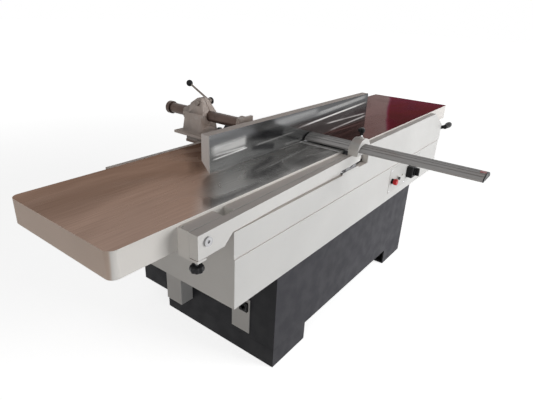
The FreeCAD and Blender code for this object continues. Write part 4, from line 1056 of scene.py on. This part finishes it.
@dataclass
class BridgeGuard(Assembly):
    """The sliding guard over the cutter block."""

    knob_radius: float = 18 * MM
    knob_height: float = 20 * MM
    neck_height: float = 12 * MM
    stem_radius: float = 5 * MM
    mark_ends: tuple[float, float] = (66 * MM, 42 * MM)
    mark_sides: tuple[float, float] = (1 * MM, 24 * MM)
    mark_depths: tuple[float, float] = (3 * MM, 0.1 * MM)
    mark_edge: float = 0.4 * MM

    def build(self) -> None:
        """Dresses the guard."""
        self.shop.dress_all({"guard_beam": ANODISED, "guard_end_caps": BLACK})
        self.knob()
        low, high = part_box("guard_beam")
        mark = block(*(Vector((high.x - end, low.y + side, high.z - depth))
                       for end, side, depth in zip(self.mark_ends, self.mark_sides, self.mark_depths)))
        self.shop.piece("end_mark", mark, RED, "bridge_guard", "red_plastic", self.mark_edge)

    def knob(self) -> None:
        """Makes the three-lobed knob that holds the guard, on its pale stem."""
        low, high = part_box("guard_clamp_knob")
        foot = Vector(((low.x + high.x) / 2, (low.y + high.y) / 2, low.z))
        tall = high.z - low.z
        reach, grip = self.knob_radius, tall - self.knob_height
        star = turned([(0, grip), (reach * 0.6, grip), (reach * 0.95, grip + 4 * MM), (reach, grip + 9 * MM),
                       (reach * 0.92, tall - 4 * MM), (reach * 0.55, tall), (0, tall)], foot, Axis.Z,
                      steps=72, lobes=3, depth=0.36)
        root = grip - self.neck_height
        neck = turned([(0, root), (7 * MM, root), (8.5 * MM, grip + 1 * MM), (0, grip + 1 * MM)],
                      foot, Axis.Z, 28)
        made = self.shop.piece("guard_knob_grip", joined(star, neck), BLACK, "guard_clamp_knob",
                               "black_plastic")
        stem = turned([(0, 0), (self.stem_radius, 0), (self.stem_radius, root), (0, root)], foot, Axis.Z, 24)
        self.shop.piece("guard_knob_stem", stem, ZINC, "guard_clamp_knob", "bright_steel")
        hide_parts("guard_clamp_knob")


@dataclass
class Controls(Assembly):
    """The control plate with its buttons and switch, and the height lever."""

    plate_edge: float = 0.8 * MM
    screw_inset: float = 12 * MM
    ring: tuple[float, float] = (9.5 * MM, 13.5 * MM)
    grip_radius: float = 20 * MM

    def build(self) -> None:
        """Dresses the controls."""
        self.shop.dress("control_panel", PLATE, self.plate_edge)
        self.shop.dress_all({"stop_button_base": BLACK, "stop_button": RED, "start_button": BLACK,
                             "pilot_lamp": LENS, "switch_housing": BLACK, "main_switch_knob": BLACK,
                             "height_lever": BLACK})
        self.fittings()
        self.lever_grip()

    def fittings(self) -> None:
        """Adds the plate's screws and the pale ring round the start button."""
        low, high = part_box("control_panel")
        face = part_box("stop_button")[1].y
        head = [(0, 0.5 * MM), (4.2 * MM, 0.5 * MM), (4.0 * MM, -1.4 * MM), (2.6 * MM, -2.4 * MM),
                (0, -2.6 * MM)]
        heads = [turned(head, Vector((x, face, z)), Axis.Y, 20)
                 for x in (low.x + self.screw_inset, (low.x + high.x) / 2, high.x - self.screw_inset)
                 for z in (low.z + self.screw_inset, high.z - self.screw_inset)]
        self.shop.piece("plate_screws", joined(*heads), ZINC, "machine_frame", "bright_steel")
        button = centre_of("start_button")
        inner, outer = self.ring
        ring = turned([(inner, 0.3 * MM), (inner, -1.6 * MM), (outer - 1 * MM, -2.0 * MM), (outer, -0.8 * MM),
                       (outer, 0.3 * MM), (inner, 0.3 * MM)], Vector((button.x, face, button.z)), Axis.Y)
        self.shop.piece("start_button_ring", ring, PALE, "machine_frame", "black_plastic")

    def lever_grip(self) -> None:
        """Makes the height lever's fat black grip, waisted near its hub."""
        low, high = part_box("height_lever_grip")
        root = Vector((low.x, (low.y + high.y) / 2, (low.z + high.z) / 2))
        long, fat = high.x - low.x, self.grip_radius
        grip = turned([(0, 0), (fat * 0.6, 0), (fat * 0.72, 4 * MM), (fat * 0.74, long * 0.2),
                       (fat * 0.95, long * 0.45), (fat, long * 0.7), (fat * 0.9, long * 0.9),
                       (fat * 0.6, long * 0.98), (0, long)], root, Axis.X)
        made = self.shop.piece("lever_grip", grip, BLACK, "height_lever", "black_plastic")
        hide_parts("height_lever_grip")


# ---- studio


@dataclass
class Lamp:
    """One soft lamp: where it stands from the object's middle, how wide it is and how bright."""

    name: str
    way: Rgb
    distance: float
    width: float
    level: float

    def build(self, target: Vector) -> None:
        """Makes the lamp, pointed at the object.

        Args:
            target: what it points at.
        """
        light = bpy.data.lights.new(self.name, "AREA")
        light.shape = "SQUARE"
        light.size = self.width
        light.energy = self.level * math.pi ** 2 * self.distance ** 2
        lamp = bpy.data.objects.new(self.name, light)
        lamp.location = target + Vector(self.way).normalized() * self.distance
        lamp.rotation_euler = (target - lamp.location).to_track_quat("-Z", "Y").to_euler()
        bpy.context.scene.collection.objects.link(lamp)


@dataclass
class Studio:
    """The camera, the lamps, the pale floor and the white surround."""

    eye: Rgb = (-1.887, -1.160, 1.491)
    heading: float = 53.13
    dip: float = 23.76
    roll: float = 2.51
    lens: float = 29.85
    sensor: float = 36.0
    aim: Rgb = (0.0, 0.0, 0.55)
    lamps: tuple[Lamp, ...] = (Lamp("key_lamp", (0.36, -0.92, 0.18), 6.0, 3.0, 0.66),
                               Lamp("end_lamp", (-0.92, -0.35, 0.18), 6.0, 3.0, 0.15))
    ambient: float = 0.13
    floor_lift: float = 0.78
    floor_half: float = 30.0
    floor_colour: Rgb = (0.84, 0.84, 0.84)
    fade: tuple[float, float] = (2.5, 8.0)

    def build(self) -> None:
        """Makes everything around the object."""
        self.camera()
        self.world()
        self.floor()
        for lamp in self.lamps:
            lamp.build(Vector(self.aim))
        bpy.context.scene.view_settings.view_transform = "Standard"

    def camera(self) -> None:
        """Makes the camera that the scene looks through."""
        heading, dip, roll = (math.radians(angle) for angle in (self.heading, self.dip, self.roll))
        forward = Vector((math.sin(heading) * math.cos(dip), math.cos(heading) * math.cos(dip),
                          -math.sin(dip)))
        level = Vector((math.cos(heading), -math.sin(heading), 0.0))
        upright = level.cross(forward)
        right = level * math.cos(roll) + upright * math.sin(roll)
        up = upright * math.cos(roll) - level * math.sin(roll)
        data = bpy.data.cameras.new("camera")
        data.lens = self.lens
        data.sensor_width = self.sensor
        eye = bpy.data.objects.new("camera", data)
        turn = Matrix((right, up, -forward)).transposed().to_4x4()
        eye.matrix_world = Matrix.Translation(self.eye) @ turn
        bpy.context.scene.collection.objects.link(eye)
        bpy.context.scene.camera = eye

    def seen(self, tree: bpy.types.NodeTree) -> Socket:
        """Tells the rays that show the surround: straight, mirrored or through glass.

        Args:
            tree: the node tree it is added to.

        Returns:
            1 for those rays and 0 for the ones that light the object.
        """
        path = tree.nodes.new("ShaderNodeLightPath")
        total = path.outputs["Is Camera Ray"]
        for name in ("Is Glossy Ray", "Is Transmission Ray"):
            either = tree.nodes.new("ShaderNodeMath")
            either.operation = "MAXIMUM"
            tree.links.new(total, either.inputs[0])
            tree.links.new(path.outputs[name], either.inputs[1])
            total = either.outputs[0]
        return total

    def world(self) -> None:
        """Makes the white surround, which lights the object at a plain level."""
        world = bpy.data.worlds.new("studio")
        world.use_nodes = True
        bpy.context.scene.world = world
        tree = world.node_tree
        back = tree.nodes["Background"]
        back.inputs["Color"].default_value = (1.0, 1.0, 1.0, 1.0)
        strength = tree.nodes.new("ShaderNodeMapRange")
        strength.inputs["To Min"].default_value = self.ambient
        tree.links.new(self.seen(tree), strength.inputs["Value"])
        tree.links.new(strength.outputs[0], back.inputs["Strength"])

    def floor(self) -> None:
        """Lays the pale floor, which keeps the object's shadow."""
        mesh = bmesh.new()
        bmesh.ops.create_grid(mesh, x_segments=1, y_segments=1, size=self.floor_half)
        data = bpy.data.meshes.new("floor")
        mesh.to_mesh(data)
        mesh.free()
        floor = bpy.data.objects.new("floor", data)
        bpy.context.scene.collection.objects.link(floor)
        graph = Graph("pale_floor")
        tree = graph.material.node_tree
        graph.done(Base_Color=graph.varied(self.floor_colour, 0.01, 0.8), Roughness=0.95,
                   Specular_IOR_Level=0.0)
        glow = tree.nodes.new("ShaderNodeEmission")
        reach = graph.add("ShaderNodeVectorMath", {0: graph.place}, 1, operation="LENGTH")
        far = graph.span(reach, *self.fade, self.floor_lift, 1.0)
        lift = graph.maths("MULTIPLY", self.seen(tree), far)
        tree.links.new(lift, glow.inputs["Strength"])
        both = tree.nodes.new("ShaderNodeAddShader")
        tree.links.new(graph.shader.outputs[0], both.inputs[0])
        tree.links.new(glow.outputs[0], both.inputs[1])
        tree.links.new(both.outputs[0], tree.nodes["Material Output"].inputs["Surface"])
        data.materials.append(graph.material)


def main() -> None:
    """Dresses every sub-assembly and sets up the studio."""
    logging.basicConfig(level=logging.INFO, format="%(message)s")
    shop = Shop()
    for kind in (Base, Body, Tables, CutterBlock, Drive, Fence, GuardArm, BridgeGuard, Controls):
        kind(shop).build()
        LOG.info("built %s", kind.__name__)
    Studio().build()


if __name__ == "__main__":
    main()
